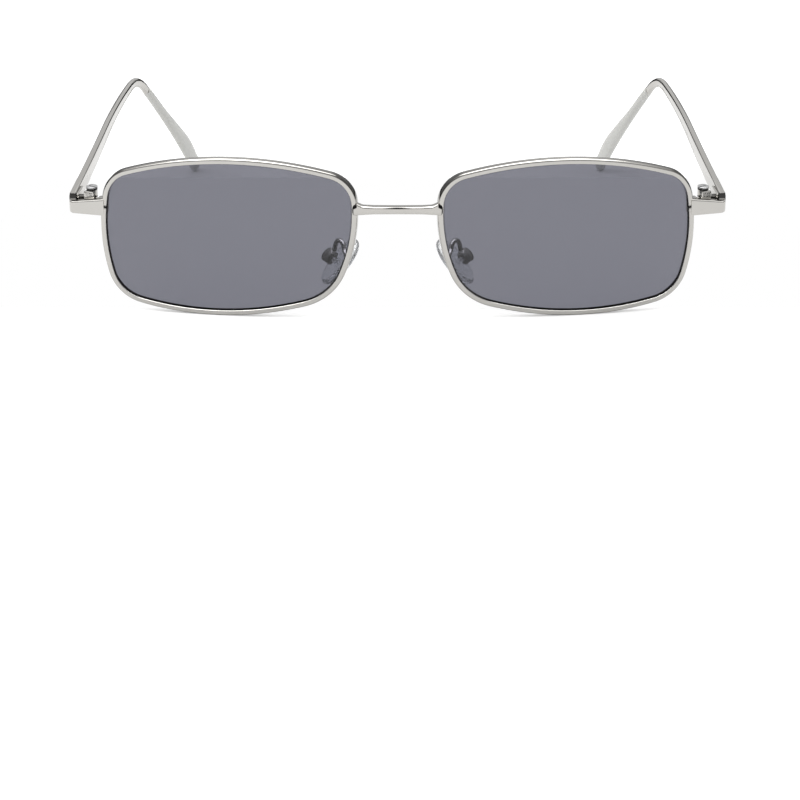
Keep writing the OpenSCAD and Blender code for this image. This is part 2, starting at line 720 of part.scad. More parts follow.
// The arm rises from the back of the rim, loops over and comes down behind the cup
module pad_arm(side) {
    foot_z = pad_z + 1.9;
    foot = rim_point(nose_u(foot_z) + rim_face * 0.5, foot_z, rim_depth - 0.3);
    pivot = [pad_x, pad_y, pad_z];
    points = [
        foot, pivot + [-3.2, -4.3, 2.9], pivot + [-2.85, -3.2, 4.1], pivot + [-2.2, -2.3, 4.65],
        pivot + [-1.55, -1.5, 4.3], pivot + [-1.15, -0.6, 3.2],
        pad_to_front([0, cup_r, cup_mid]), pad_to_front([0, cup_r / 2, cup_mid])
    ];
    line = spline(points, 4);
    n = len(line);
    function way(i) = unit(line[min(i + 1, n - 1)] - line[max(i - 1, 0)]);
    function across(i) = unit(cross(way(i), [0.3, 1, 0]));
    function ring(i) = [
        for (a = [0 : 45 : 315])
            line[i] + arm_r * (across(i) * cos(a) + cross(way(i), across(i)) * sin(a))
    ];
    color(bright) on_side(side) difference() {
        skin([for (i = [0 : n - 1]) ring(i)]);
        in_rim() rim_skin(near_nose, rim_envelope);
        in_pad() translate([0, 0, cup_low]) cylinder(r = cup_r, h = cup_high - cup_low);
    }
}

bridge();
rim(-1);  // rim_left
rim(1);  // rim_right
lens(-1);  // lens_left
lens(1);  // lens_right
end_piece(-1);  // end_piece_left
end_piece(1);  // end_piece_right
rim_lock_upper(-1);  // rim_lock_upper_left
rim_lock_upper(1);  // rim_lock_upper_right
rim_lock_lower(-1);  // rim_lock_lower_left
rim_lock_lower(1);  // rim_lock_lower_right
rim_screw(-1);  // rim_screw_left
rim_screw(1);  // rim_screw_right
front_hinge(-1);  // front_hinge_left
front_hinge(1);  // front_hinge_right
hinge_screw(-1);  // hinge_screw_left
hinge_screw(1);  // hinge_screw_right
temple_hinge(-1);  // temple_hinge_left
temple_hinge(1);  // temple_hinge_right
temple(-1);  // temple_left
temple(1);  // temple_right
temple_tip(-1);  // temple_tip_left
temple_tip(1);  // temple_tip_right
pad_arm(-1);  // pad_arm_left
pad_arm(1);  // pad_arm_right
pad_box(-1);  // pad_box_left
pad_box(1);  // pad_box_right
pad_screw(-1);  // pad_screw_left
pad_screw(1);  // pad_screw_right
nose_pad(-1);  // nose_pad_left
nose_pad(1);  // nose_pad_right
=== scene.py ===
"""Rectangular metal sunglasses on a white table: fine meshes, finishes, light and camera.

Sizes are in millimetres in the upright frame of the front, with x to the right from the
nose, y back to the temple tips and z up from the middle of the rims. The Stance turns them
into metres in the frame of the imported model, where the glasses rest on rims and tips.
"""

import json
import logging
import math
from collections.abc import Callable, Sequence
from dataclasses import dataclass, field
from enum import Enum

import bmesh
import bpy
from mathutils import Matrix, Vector


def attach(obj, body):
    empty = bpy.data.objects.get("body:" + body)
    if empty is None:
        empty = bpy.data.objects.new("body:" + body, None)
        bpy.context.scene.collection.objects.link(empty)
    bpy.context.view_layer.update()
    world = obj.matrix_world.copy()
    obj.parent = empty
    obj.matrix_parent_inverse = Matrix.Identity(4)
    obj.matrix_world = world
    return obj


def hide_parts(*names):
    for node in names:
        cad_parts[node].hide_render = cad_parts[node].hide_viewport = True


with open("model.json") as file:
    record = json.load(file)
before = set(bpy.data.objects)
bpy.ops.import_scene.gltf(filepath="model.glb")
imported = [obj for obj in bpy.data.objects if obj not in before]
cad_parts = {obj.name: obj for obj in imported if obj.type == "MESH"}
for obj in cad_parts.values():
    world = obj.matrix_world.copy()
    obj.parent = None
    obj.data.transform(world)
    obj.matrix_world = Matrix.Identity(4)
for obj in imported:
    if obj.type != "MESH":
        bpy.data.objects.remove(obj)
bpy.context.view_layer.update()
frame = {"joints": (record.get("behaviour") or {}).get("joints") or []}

LOG = logging.getLogger("sunglasses")
MM = 0.001
# Name of the point attribute that carries painted shade and painted dark reflections, from 0 to 1.
SHADE = "shade"
SHARP_DEG = 35.0
DRIFT_SCALE = 0.4

# Hinge barrels: how far in from an end the painted shade reaches, the angles of painted dark
# reflections down the side, and how dark each is.
KNUCKLE_END, KNUCKLE_END_SHADE = 0.09, 0.95
KNUCKLE_BARS, KNUCKLE_BAR_SHADE = ((-30, -10), (45, 110)), 0.85

# Screw heads: how dark the painted shade on the slot's floor and walls is, and how far the halves
# sink into the base.
SLOT_FLOOR_SHADE, SLOT_WALL_SHADE, HALF_SUNK = 0.9, 0.3, 0.05

Ring = list[Vector]
Outline = list[tuple[float, float]]
Table = Sequence[tuple[float, float]]


class Side(Enum):
    """The two halves of the pair, by the sign of x."""

    LEFT = -1
    RIGHT = 1

    @property
    def word(self) -> str:
        """The side's word in the names of nodes and pieces."""
        return self.name.lower()


class Slot(Enum):
    """The record's material slots."""

    SILVER = "silver_metal"
    SCREW = "screw_steel"
    LENS = "tinted_lens"
    TIP = "milky_plastic"
    PAD = "clear_silicone"


# Curves


def lookup(x: float, table: Table) -> float:
    """Reads a table of growing x with straight lines between its rows.

    Args:
        x: Where to read.
        table: Pairs of x and value.

    Returns:
        The value at x, held level outside the table.
    """
    if x <= table[0][0]:
        return table[0][1]
    for (xa, a), (xb, b) in zip(table, table[1:]):
        if x <= xb:
            return a + (b - a) * (x - xa) / (xb - xa)
    return table[-1][1]


def spread(start: float, end: float, count: int) -> list[float]:
    """Even steps from start to end, both included.

    Args:
        start: First value.
        end: Last value.
        count: Number of steps between them.

    Returns:
        count + 1 values.
    """
    return [start + (end - start) * k / count for k in range(count + 1)]


def squared(c: float, power: float) -> float:
    """A cosine or sine raised to a power with its sign kept."""
    return math.copysign(abs(c) ** power, c)


def spin(x: float, y: float, turn: float) -> tuple[float, float]:
    """A point in a plane turned anticlockwise about the origin by an angle in radians."""
    return x * math.cos(turn) - y * math.sin(turn), x * math.sin(turn) + y * math.cos(turn)


def arc(cx: float, cy: float, radius: float, start: float, end: float, steps: int) -> Outline:
    """Points round part of a circle.

    Args:
        cx: Centre across.
        cy: Centre up.
        radius: Radius of the circle.
        start: First angle in degrees.
        end: Last angle in degrees.
        steps: Steps between them.

    Returns:
        steps + 1 points.
    """
    turns = [math.radians(a) for a in spread(start, end, steps)]
    return [(cx + radius * math.cos(a), cy + radius * math.sin(a)) for a in turns]


def oval(width: float, height: float, power: float, count: int) -> Outline:
    """A squared oval: power 1 is an ellipse, lower powers are boxes with round corners.

    Args:
        width: Full width.
        height: Full height.
        power: Power of the cosine and the sine.
        count: Number of points.

    Returns:
        Points anticlockwise from the right.
    """
    turns = [2 * math.pi * (k + 0.5) / count for k in range(count)]
    return [(width / 2 * squared(math.cos(a), power), height / 2 * squared(math.sin(a), power))
            for a in turns]


def rounded_rect(width: float, height: float, radius: float) -> Outline:
    """A rectangle with round corners.

    Args:
        width: Full width.
        height: Full height.
        radius: Radius of the corners.

    Returns:
        Points anticlockwise from the lower right corner.
    """
    r = min(radius, width / 2 - 0.001, height / 2 - 0.001)
    x, y = width / 2 - r, height / 2 - r
    corners = ((270, x, -y), (0, x, y), (90, -x, y), (180, -x, -y))
    return [p for turn, cx, cy in corners for p in arc(cx, cy, r, turn, turn + 90, 5)]


def smooth_line(knots: Sequence[Vector], steps: int) -> list[Vector]:
    """A curve through the knots.

    Args:
        knots: Points that the curve passes through.
        steps: Steps from knot to knot.

    Returns:
        Points along the curve.
    """
    last = len(knots) - 1
    line = []
    for i in range(last):
        a, b, c, d = knots[max(i - 1, 0)], knots[i], knots[i + 1], knots[min(i + 2, last)]
        for k in range(steps):
            t = k / steps
            line.append(0.5 * (2 * b + (c - a) * t + (2 * a - 5 * b + 4 * c - d) * t * t
                               + (3 * b - a - 3 * c + d) * t ** 3))
    return line + [knots[-1].copy()]


# Meshes


@dataclass
class Shell:
    """Points and faces of one closed surface, in the upright frame.

    Shades, where given, are painted shade and painted dark reflections: how dark each point is
    painted, from 0 to 1.
    """

    points: list[Vector] = field(default_factory=list)
    faces: list[tuple[int, ...]] = field(default_factory=list)
    shades: list[float] = field(default_factory=list)

    def moved(self, where: Callable[[Vector], Vector]) -> "Shell":
        """The same surface with each point put through a function.

        Args:
            where: Gives a point's new place.

        Returns:
            A new shell.
        """
        return Shell([where(p) for p in self.points], list(self.faces), list(self.shades))

    def marked(self, shade: Callable[[Vector], float]) -> "Shell":
        """The same surface with a shade found for every point.

        Args:
            shade: Gives the shade of a point, from 0 to 1.

        Returns:
            The marked surface.
        """
        return Shell(list(self.points), list(self.faces), [shade(p) for p in self.points])


def loft(rings: Sequence[Ring]) -> Shell:
    """A skin over rings that all have the same number of points, with a face at each end.

    Args:
        rings: The rings in order.

    Returns:
        The closed surface.
    """
    n = len(rings[0])
    last = (len(rings) - 1) * n
    shell = Shell([p for ring in rings for p in ring])
    for a in range(0, last, n):
        b = a + n
        shell.faces += [(a + j, a + (j + 1) % n, b + (j + 1) % n, b + j) for j in range(n)]
    shell.faces += [tuple(reversed(range(n))), tuple(range(last, last + n))]
    return shell


def barrel(radius: float, low: float, high: float, edge: float, count: int = 48) -> Shell:
    """A cylinder about z with rounded edges.

    Args:
        radius: Radius of the side.
        low: Height of the lower face.
        high: Height of the upper face.
        edge: Rounding of the two edges.
        count: Points round it.

    Returns:
        The closed surface.
    """
    lower = arc(radius - edge, low + edge, edge, -90, 0, 4)
    upper = arc(radius - edge, high - edge, edge, 0, 90, 4)
    turns = [2 * math.pi * k / count for k in range(count)]
    return loft([[Vector((r * math.cos(a), r * math.sin(a), h)) for a in turns]
                 for r, h in lower + upper])


def knuckle(radius: float, low: float, high: float) -> Shell:
    """A hinge barrel about z with painted shade at its ends, where it meets the next one, and
    painted dark reflections down its side.

    Args:
        radius: Radius of the side.
        low: Height of the lower face.
        high: Height of the upper face.

    Returns:
        The marked surface.
    """

    def shade(p: Vector) -> float:
        """Painted shade at both ends and, less dark, painted reflections in bars down the side.

        Args:
            p: Point of the barrel.

        Returns:
            The point's shade.
        """
        if min(p.z - low, high - p.z) < KNUCKLE_END:
            return KNUCKLE_END_SHADE
        turn = math.degrees(math.atan2(p.x, -p.y))
        return KNUCKLE_BAR_SHADE if any(a < turn < b for a, b in KNUCKLE_BARS) else 0.0

    return barrel(radius, low, high, 0.12).marked(shade)


def slab(outline: Sequence[tuple[float, float]], low: float, high: float, edge: float,
         rim: float = 0.0) -> Shell:
    """A plate of any outline, with rounded edges on both faces.

    Args:
        outline: Points of the outline, anticlockwise.
        low: Height of the lower face.
        high: Height of the upper face.
        edge: Rounding of the edges.
        rim: Painted shade on the wall round the plate.

    Returns:
        The closed surface.
    """
    n = len(outline)
    inward = []
    for k in range(n):
        a, c = outline[k - 1], outline[(k + 1) % n]
        dx, dy = c[0] - a[0], c[1] - a[1]
        size = math.hypot(dx, dy) or 1
        inward.append((-dy / size, dx / size))

    def ring(inset: float, height: float) -> Ring:
        """The outline drawn in by inset, at a height."""
        return [Vector((p[0] + d[0] * inset, p[1] + d[1] * inset, height))
                for p, d in zip(outline, inward)]

    lower = [ring(inset, low + rise) for inset, rise in arc(edge, edge, -edge, 90, 0, 3)]
    upper = [ring(inset, high - rise) for inset, rise in arc(edge, edge, -edge, 0, 90, 3)]
    shell = loft(lower + upper)
    # Painted shade on the wall round the plate, none on its two faces.
    shell.shades = [shade for shade in (0.0, 0.0, rim, rim, rim, rim, 0.0, 0.0) for _ in range(n)]
    return shell


def tube(line: Sequence[Vector], radius: float, count: int) -> Shell:
    """A round wire along a line that never runs straight back.

    Args:
        line: Points of its middle line.
        radius: Radius of the wire.
        count: Points round it.

    Returns:
        The closed surface.
    """
    rings = []
    last = len(line) - 1
    for i, p in enumerate(line):
        way = (line[min(i + 1, last)] - line[max(i - 1, 0)]).normalized()
        across = way.cross(Vector((0.3, 1, 0))).normalized()
        over = way.cross(across)
        rings.append([p + radius * (across * math.cos(a) + over * math.sin(a))
                      for a in (2 * math.pi * k / count for k in range(count))])
    return loft(rings)


def slotted_head(radius: float, height: float, slot: float, depth: float) -> list[Shell]:
    """A round screw head with a driver's slot, about z and standing on z = 0.

    Args:
        radius: Radius of the head.
        height: Its height.
        slot: Width of the slot.
        depth: Depth of the slot.

    Returns:
        The base and the two halves beside the slot.
    """
    floor = height - depth
    # Painted shade: the base is dark all over, as shade in the slot and under the head, and the
    # halves' walls are greyer below their tops.
    shells = [barrel(radius, 0, floor, 0.04).marked(lambda p: SLOT_FLOOR_SHADE)]
    half = math.degrees(math.asin(slot / 2 / radius))
    for turn in (0, 180):
        outline = arc(0, 0, radius, turn + half, turn + 180 - half, 24)
        shell = slab(outline, floor - HALF_SUNK, height, 0.06)
        shells.append(shell.marked(lambda p: 0.0 if p.z > height - 0.05 else SLOT_WALL_SHADE))
    return shells


@dataclass(frozen=True)
class Stance:
    """How the upright front is tipped and lifted to rest on the table."""

    tilt: float
    lift: float
    back: float

    @classmethod
    def of_hinge(cls, joint: dict, pivot: Vector) -> "Stance":
        """Reads the stance from a fold joint.

        Args:
            joint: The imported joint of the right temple.
            pivot: The same hinge's place in the upright frame.

        Returns:
            The stance that puts the pivot where the joint is.
        """
        tilt = math.atan2(-joint["axis"][1], joint["axis"][2])
        y, z = spin(pivot.y, pivot.z, tilt)
        return cls(tilt, joint["pos_m"][2] / MM - z, y - joint["pos_m"][1] / MM)

    def place(self, p: Vector, side: Side) -> Vector:
        """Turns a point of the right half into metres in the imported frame.

        Args:
            p: Point in the upright frame, in millimetres.
            side: The half that it goes to.

        Returns:
            The point's place.
        """
        y, z = spin(p.y, p.z, self.tilt)
        return Vector((p.x * side.value, y - self.back, z + self.lift)) * MM


@dataclass
class Bench:
    """Turns shells into finished pieces that ride on their bodies."""

    stance: Stance
    materials: dict[Slot, bpy.types.Material]

    def make(self, name: str, node: str, shells: Sequence[Shell], slot: Slot,
             body: str = "front", side: Side = Side.RIGHT) -> None:
        """Makes one piece from its shells.

        Args:
            name: Name of the piece.
            node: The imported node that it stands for.
            shells: Its surfaces, drawn for the right half.
            slot: The finish that it takes.
            body: The body that it rides on.
            side: The half that it goes to.
        """
        points: list[Vector] = []
        faces: list[tuple[int, ...]] = []
        shades: list[float] = []
        for shell in shells:
            start = len(points)
            points += [self.stance.place(p, side) for p in shell.points]
            faces += [tuple(start + k for k in face) for face in shell.faces]
            shades += shell.shades or [0.0] * len(shell.points)
        mesh = bpy.data.meshes.new(name)
        mesh.from_pydata(points, [], faces)
        mesh.attributes.new(SHADE, "FLOAT", "POINT").data.foreach_set("value", shades)
        tool = bmesh.new()
        tool.from_mesh(mesh)
        bmesh.ops.remove_doubles(tool, verts=tool.verts, dist=1e-8)
        bmesh.ops.recalc_face_normals(tool, faces=tool.faces)
        tool.to_mesh(mesh)
        tool.free()
        mesh.polygons.foreach_set("use_smooth", [True] * len(mesh.polygons))
        mesh.set_sharp_from_angle(angle=math.radians(SHARP_DEG))
        mesh.materials.append(self.materials[slot])
        piece = bpy.data.objects.new(name, mesh)
        bpy.context.scene.collection.objects.link(piece)
        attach(piece, body)
        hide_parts(node)
        LOG.info("%s: %d faces on %s", name, len(mesh.polygons), body)

    def pair(self, name: str, node: str, shells: Sequence[Shell], slot: Slot, side: Side,
             body: str = "front") -> None:
        """Makes one half's piece, with the side's word added to its name and its node.

        Args:
            name: First words of the piece's name.
            node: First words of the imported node's name.
            shells: Its surfaces, drawn for the right half.
            slot: The finish that it takes.
            side: The half that it goes to.
            body: The body that it rides on.
        """
        self.make(f"{name}_{side.word}", f"{node}_{side.word}", shells, slot, body, side)


# Front: rims, lenses and bridge


@dataclass
class RimOutline:
    """The rim's outer edge: four large arcs joined by four corner arcs."""

    width: float = 57.1
    height: float = 36.5
    top_r: float = 77.2
    bottom_r: float = 82.2
    temple_r: float = 44.7
    nose_r: float = 35.6
    crown: float = -2.0
    belly: float = 4.5
    temple_z: float = 0.6
    nose_z: float = 6.2
    corner_top_temple: float = 7.9
    corner_top_nose: float = 7.8
    corner_low_nose: float = 13.1
    corner_low_temple: float = 8.9
    split_z: float = 5.4
    split_gap: float = 0.25
    longest_step: float = 0.45
    longest_turn: float = 3.0

    def __post_init__(self) -> None:
        """Finds the centres of the arcs and where one hands over to the next."""
        self.top_c = Vector((self.crown, self.height / 2 - self.top_r))
        self.bottom_c = Vector((self.belly, self.bottom_r - self.height / 2))
        self.temple_c = Vector((self.width / 2 - self.temple_r, self.temple_z))
        self.nose_c = Vector((self.nose_r - self.width / 2, self.nose_z))
        big = [(self.temple_c, self.temple_r), (self.top_c, self.top_r),
               (self.nose_c, self.nose_r), (self.bottom_c, self.bottom_r)]
        small = [self.corner_top_temple, self.corner_top_nose, self.corner_low_nose,
                 self.corner_low_temple]
        split = math.asin((self.split_z - self.temple_z) / self.temple_r)
        half = self.split_gap / 2 / self.temple_r
        arcs = []
        turn = split + half
        for k, r in enumerate(small):
            (ca, ra), (cb, rb) = big[k], big[(k + 1) % 4]
            c = self._cross(ca, ra - r, cb, rb - r)
            first = self._up_to(math.atan2(c.y - ca.y, c.x - ca.x), turn)
            second = self._up_to(math.atan2(c.y - cb.y, c.x - cb.x), first)
            arcs += [(ca, ra, turn, first), (c, r, first, second)]
            turn = second
        arcs.append((self.temple_c, self.temple_r, turn, split - half + 2 * math.pi))
        self.arcs = arcs

    @staticmethod
    def _cross(ca: Vector, ra: float, cb: Vector, rb: float) -> Vector:
        """The left-hand crossing of two circles.

        Args:
            ca: Centre of the first circle.
            ra: Its radius.
            cb: Centre of the second circle.
            rb: Its radius.

        Returns:
            The crossing.
        """
        d = cb - ca
        size = d.length
        along = (ra * ra - rb * rb + size * size) / (2 * size)
        across = math.sqrt(ra * ra - along * along)
        e = d / size
        return ca + e * along + Vector((-e.y, e.x)) * across

    @staticmethod
    def _up_to(a: float, ref: float) -> float:
        """The same heading, turned on until it is past another.

        Args:
            a: The heading in radians.
            ref: The heading to pass.

        Returns:
            The heading with whole turns added.
        """
        while a < ref:
            a += 2 * math.pi
        return a

    def stations(self) -> list[tuple[Vector, Vector]]:
        """Points along the outer edge from one side of the cut to the other.

        Returns:
            Pairs of a point and its outward direction, as u towards the temple and v up.
        """
        step, turn = self.longest_step, self.longest_turn
        out = []
        for c, r, start, end in self.arcs:
            sweep = end - start
            count = max(math.ceil(math.degrees(sweep) / turn), math.ceil(sweep * r / step))
            for k in range(count):
                a = start + sweep * k / count
                d = Vector((math.cos(a), math.sin(a)))
                out.append((c + r * d, d))
        c, r, _, end = self.arcs[-1]
        d = Vector((math.cos(end), math.sin(end)))
        return out + [(c + r * d, d)]

    def temple_u(self, v: float) -> float:
        """Where the edge at the temple lies at a height."""
        return self.temple_c.x + math.sqrt(self.temple_r ** 2 - (v - self.temple_c.y) ** 2)

    def nose_u(self, v: float) -> float:
        """Where the edge at the nose lies at a height."""
        return self.nose_c.x - math.sqrt(self.nose_r ** 2 - (v - self.nose_c.y) ** 2)


@dataclass
class RimAndLens:
    """A grooved rim wire on the lens's ball, with the lens sprung into it."""

    outline: RimOutline = field(default_factory=RimOutline)
    rim_gap: float = 17.5
    face_form: float = 8.0
    base_r: float = 131.0
    bridge_z: float = 7.2
    bridge_proud: float = 0.55
    face: float = 1.2
    depth: float = 2.1
    rounding: float = 0.42
    groove: float = 0.5
    lens_t: float = 1.0
    recess: float = 0.7
    play: float = 0.05
    front_lip: float = 0.25
    back_lip: float = 0.14
    # Painted shade on the walls of the lens's groove.
    wall_shade: float = 0.6
    bevel: float = 0.12
    edge_band: float = 0.75
    # Painted shade on the outer wall: underneath, and as painted dark reflections at the upper
    # corners.
    under_shade: float = 0.5
    corner_shade: float = 0.9
    outer_wall: float = 0.3

    def __post_init__(self) -> None:
        """Finds where the middle of the rim stands."""
        form = math.radians(self.face_form)
        half = self.outline.width / 2
        self.cx = self.rim_gap / 2 + spin(half, -self.ball(half, 0), form)[0]
        nose = self.outline.nose_u(self.bridge_z)
        self.cy = self.bridge_proud - spin(nose, self.ball(nose, self.bridge_z), form)[1]

    def ball(self, u: float, v: float) -> float:
        """Depth of the lens's ball behind its front."""
        return self.base_r - math.sqrt(self.base_r ** 2 - u * u - v * v)

    def point(self, u: float, v: float, depth: float) -> Vector:
        """A point of the rim in the upright frame.

        Args:
            u: Distance from the middle towards the temple.
            v: Height.
            depth: Distance behind the ball.

        Returns:
            The point.
        """
        x, y = spin(u, self.ball(u, v) + depth, math.radians(self.face_form))
        return Vector((self.cx + x, self.cy + y, v))

    def section(self) -> list[tuple[float, float, float]]:
        """The wire's section, with the groove for the lens.

        Returns:
            How far out and how far back each point lies, and its painted shade.
        """
        r, front_r, back_r = self.rounding, self.front_lip, self.back_lip
        front, back = self.recess - self.play, self.recess + self.lens_t + self.play
        inner, floor = -self.face, self.groove - self.face
        outside = (arc(-r, r, r, -90, 0, 6) + arc(-r, self.depth - r, r, 0, 90, 6)
                   + arc(back_r + inner, self.depth - back_r, back_r, 90, 180, 6))
        groove = [(inner, back), (floor, back), (floor, front), (inner, front),
                  (inner, front_r + 0.04)]
        inside = arc(front_r + inner, front_r, front_r, 180, 270, 6)
        return [(a, b, shade) for line, shade in ((outside, 0.0), (groove, self.wall_shade),
                                                  (inside, 0.0)) for a, b in line]

    def rim(self) -> Shell:
        """The rim wire, from one side of its cut to the other, with painted shade on the cut faces.

        Returns:
            The marked surface.
        """
        section = self.section()
        stations = self.outline.stations()
        shell = loft([[self.point(*(q + d * a), b) for a, b, _ in section] for q, d in stations])
        shell.shades = [max(shade, self.outer_shade(d) if a > -self.outer_wall else 0)
                        for _, d in stations for a, _, shade in section]
        around = len(section)
        shell.shades[:around] = shell.shades[-around:] = [1.0] * around
        return shell

    def outer_shade(self, out: Vector) -> float:
        """Painted shade on the wire's outer wall: painted dark reflections at the upper corners,
        painted shade underneath.
        """
        corner = self.corner_shade * min(1.0, 2.4 * abs(out.x) * max(0.0, out.y))
        return max(corner, -self.under_shade * out.y)

    @staticmethod
    def edge_shade(out: Vector) -> float:
        """Painted shade on the lens's edge band, for its dark edge line: none at the top, less
        beside the nose.
        """
        side = 1.0 if out.x > 0 else min(1.0, 0.6 - 1.2 * out.y)
        return max(0.0, side * min(1.0, 1.2 - 1.8 * max(0.0, out.y)))

    def lens(self) -> Shell:
        """The lens: two ball surfaces with a narrow bevel and a band of painted shade along its
        edge at the sides.

        Returns:
            The marked surface.
        """
        inset = self.face - self.groove + self.play
        stations = self.outline.stations()
        edge = [(q - d * inset, d) for q, d in stations]
        bevel, band = self.bevel, self.edge_band
        shares = [0.02, 0.1, 0.2, 0.3, 0.4, 0.5, 0.6, 0.7, 0.8, 0.88, 0.94]
        dark = [self.edge_shade(d) for _, d in stations]
        light = [0.0] * len(edge)

        def ring(share: float, depth: float, cut: float = 0.0) -> Ring:
            """The edge drawn in to a share of its size or by a cut, at a depth."""
            return [self.point(*((p - d * cut) * share), depth) for p, d in edge]

        front, back = self.recess, self.recess + self.lens_t
        rings = [(ring(s, front), light) for s in shares]
        rings += [(ring(1, front, band + 0.04), light), (ring(1, front, band), dark),
                  (ring(1, front, bevel), dark), (ring(1, front + bevel), dark),
                  (ring(1, back - bevel), dark), (ring(1, back, bevel), light)]
        rings += [(ring(s, back), light) for s in reversed(shares)]
        shell = loft([points for points, _ in rings])
        shell.shades = [shade for _, shades in rings for shade in shades]
        return shell

    def build(self, bench: Bench, side: Side) -> None:
        """Makes the rim and the lens of one half.

        Args:
            bench: Makes the pieces.
            side: The half.
        """
        bench.pair("rim_wire", "rim", [self.rim()], Slot.SILVER, side)
        bench.pair("lens_disc", "lens", [self.lens()], Slot.LENS, side)


@dataclass
class Bridge:
    """The bar across the nose, soldered over both rims."""

    rims: RimAndLens
    z: float = 7.2
    height: float = 1.7
    end_height: float = 2.2
    depth: float = 2.0
    end_share: float = 0.88
    end_round: float = 0.5
    end_size: float = 0.35
    waist: float = 0.6
    swell: float = 0.03
    gusset: float = 0.5
    gusset_run: float = 1.2
    gusset_foot: float = 0.2
    power: float = 0.5
    # Painted shade at the ends, on top and in a spot at each end, and a painted dark reflection in
    # a streak across the middle.
    end_shade: float = 1.0
    top_shade: float = 0.35
    streak: float = 3.2
    spot: float = 1.0

    def build(self, bench: Bench) -> None:
        """Makes the bar.

        Args:
            bench: Makes the piece.
        """
        nose = self.rims.outline.nose_u(self.z)
        reach = self.rims.point(nose + self.rims.face * self.end_share, self.z, 0).x
        foot = self.rims.point(nose, self.z, 0).x
        ends = [foot + (reach - foot) * math.sin(math.radians(7.5 * k)) for k in range(1, 13)]
        xs = [-x for x in reversed(ends)] + spread(-foot, foot, 64) + ends

        def ring(x: float) -> Ring:
            """The bar's section, smaller at the very ends and fuller at the rims.

            Args:
                x: Place along the bar.

            Returns:
                The section's points.
            """
            past = max(0.0, abs(x) - reach + self.end_round) / self.end_round
            size = self.end_size + (1 - self.end_size) * math.sqrt(max(0.0, 1 - past * past))
            middle = self.height / 2
            half = lookup(abs(x), [(0, middle), (foot * self.waist, middle + self.swell),
                                   (foot, self.end_height / 2)])
            rise = lookup(abs(x), [(foot - self.gusset_run, 0), (foot, self.gusset),
                                   (foot + 0.5, self.gusset_foot), (reach, 0)])
            return [Vector((x, self.depth / 2 + p * size,
                            self.z + q * half * size + (rise if q > 0 else 0)))
                    for p, q in oval(self.depth, 2, self.power, 64)]

        bar = loft([ring(x) for x in xs])

        def shade(x: float, p: float, q: float) -> float:
            """Painted shade at both ends and in a spot at each upper end, a painted dark reflection
            in a short streak before the middle, and lighter painted shade on top.

            Args:
                x: Place along the bar.
                p: Place in the section from front to back, from -1 to 1.
                q: Place in the section upwards, from -1 to 1.

            Returns:
                The shade.
            """
            in_spot = abs(x) > reach - self.spot and p < 0.2 and 0.3 < q < 0.97
            if in_spot or abs(x) > reach - self.end_round * 0.5:
                return self.end_shade
            if p < 0 and 0.5 < q < 0.9:
                return self.end_shade * max(0.0, 1 - (x / self.streak) ** 2)
            return self.top_shade if q > 0.93 else 0.0

        bar.shades = [shade(x, p, q) for x in xs for p, q in oval(2, 2, self.power, 64)]
        bench.make("bridge_bar", "bridge", [bar], Slot.SILVER)


# End pieces, rim locks and hinges


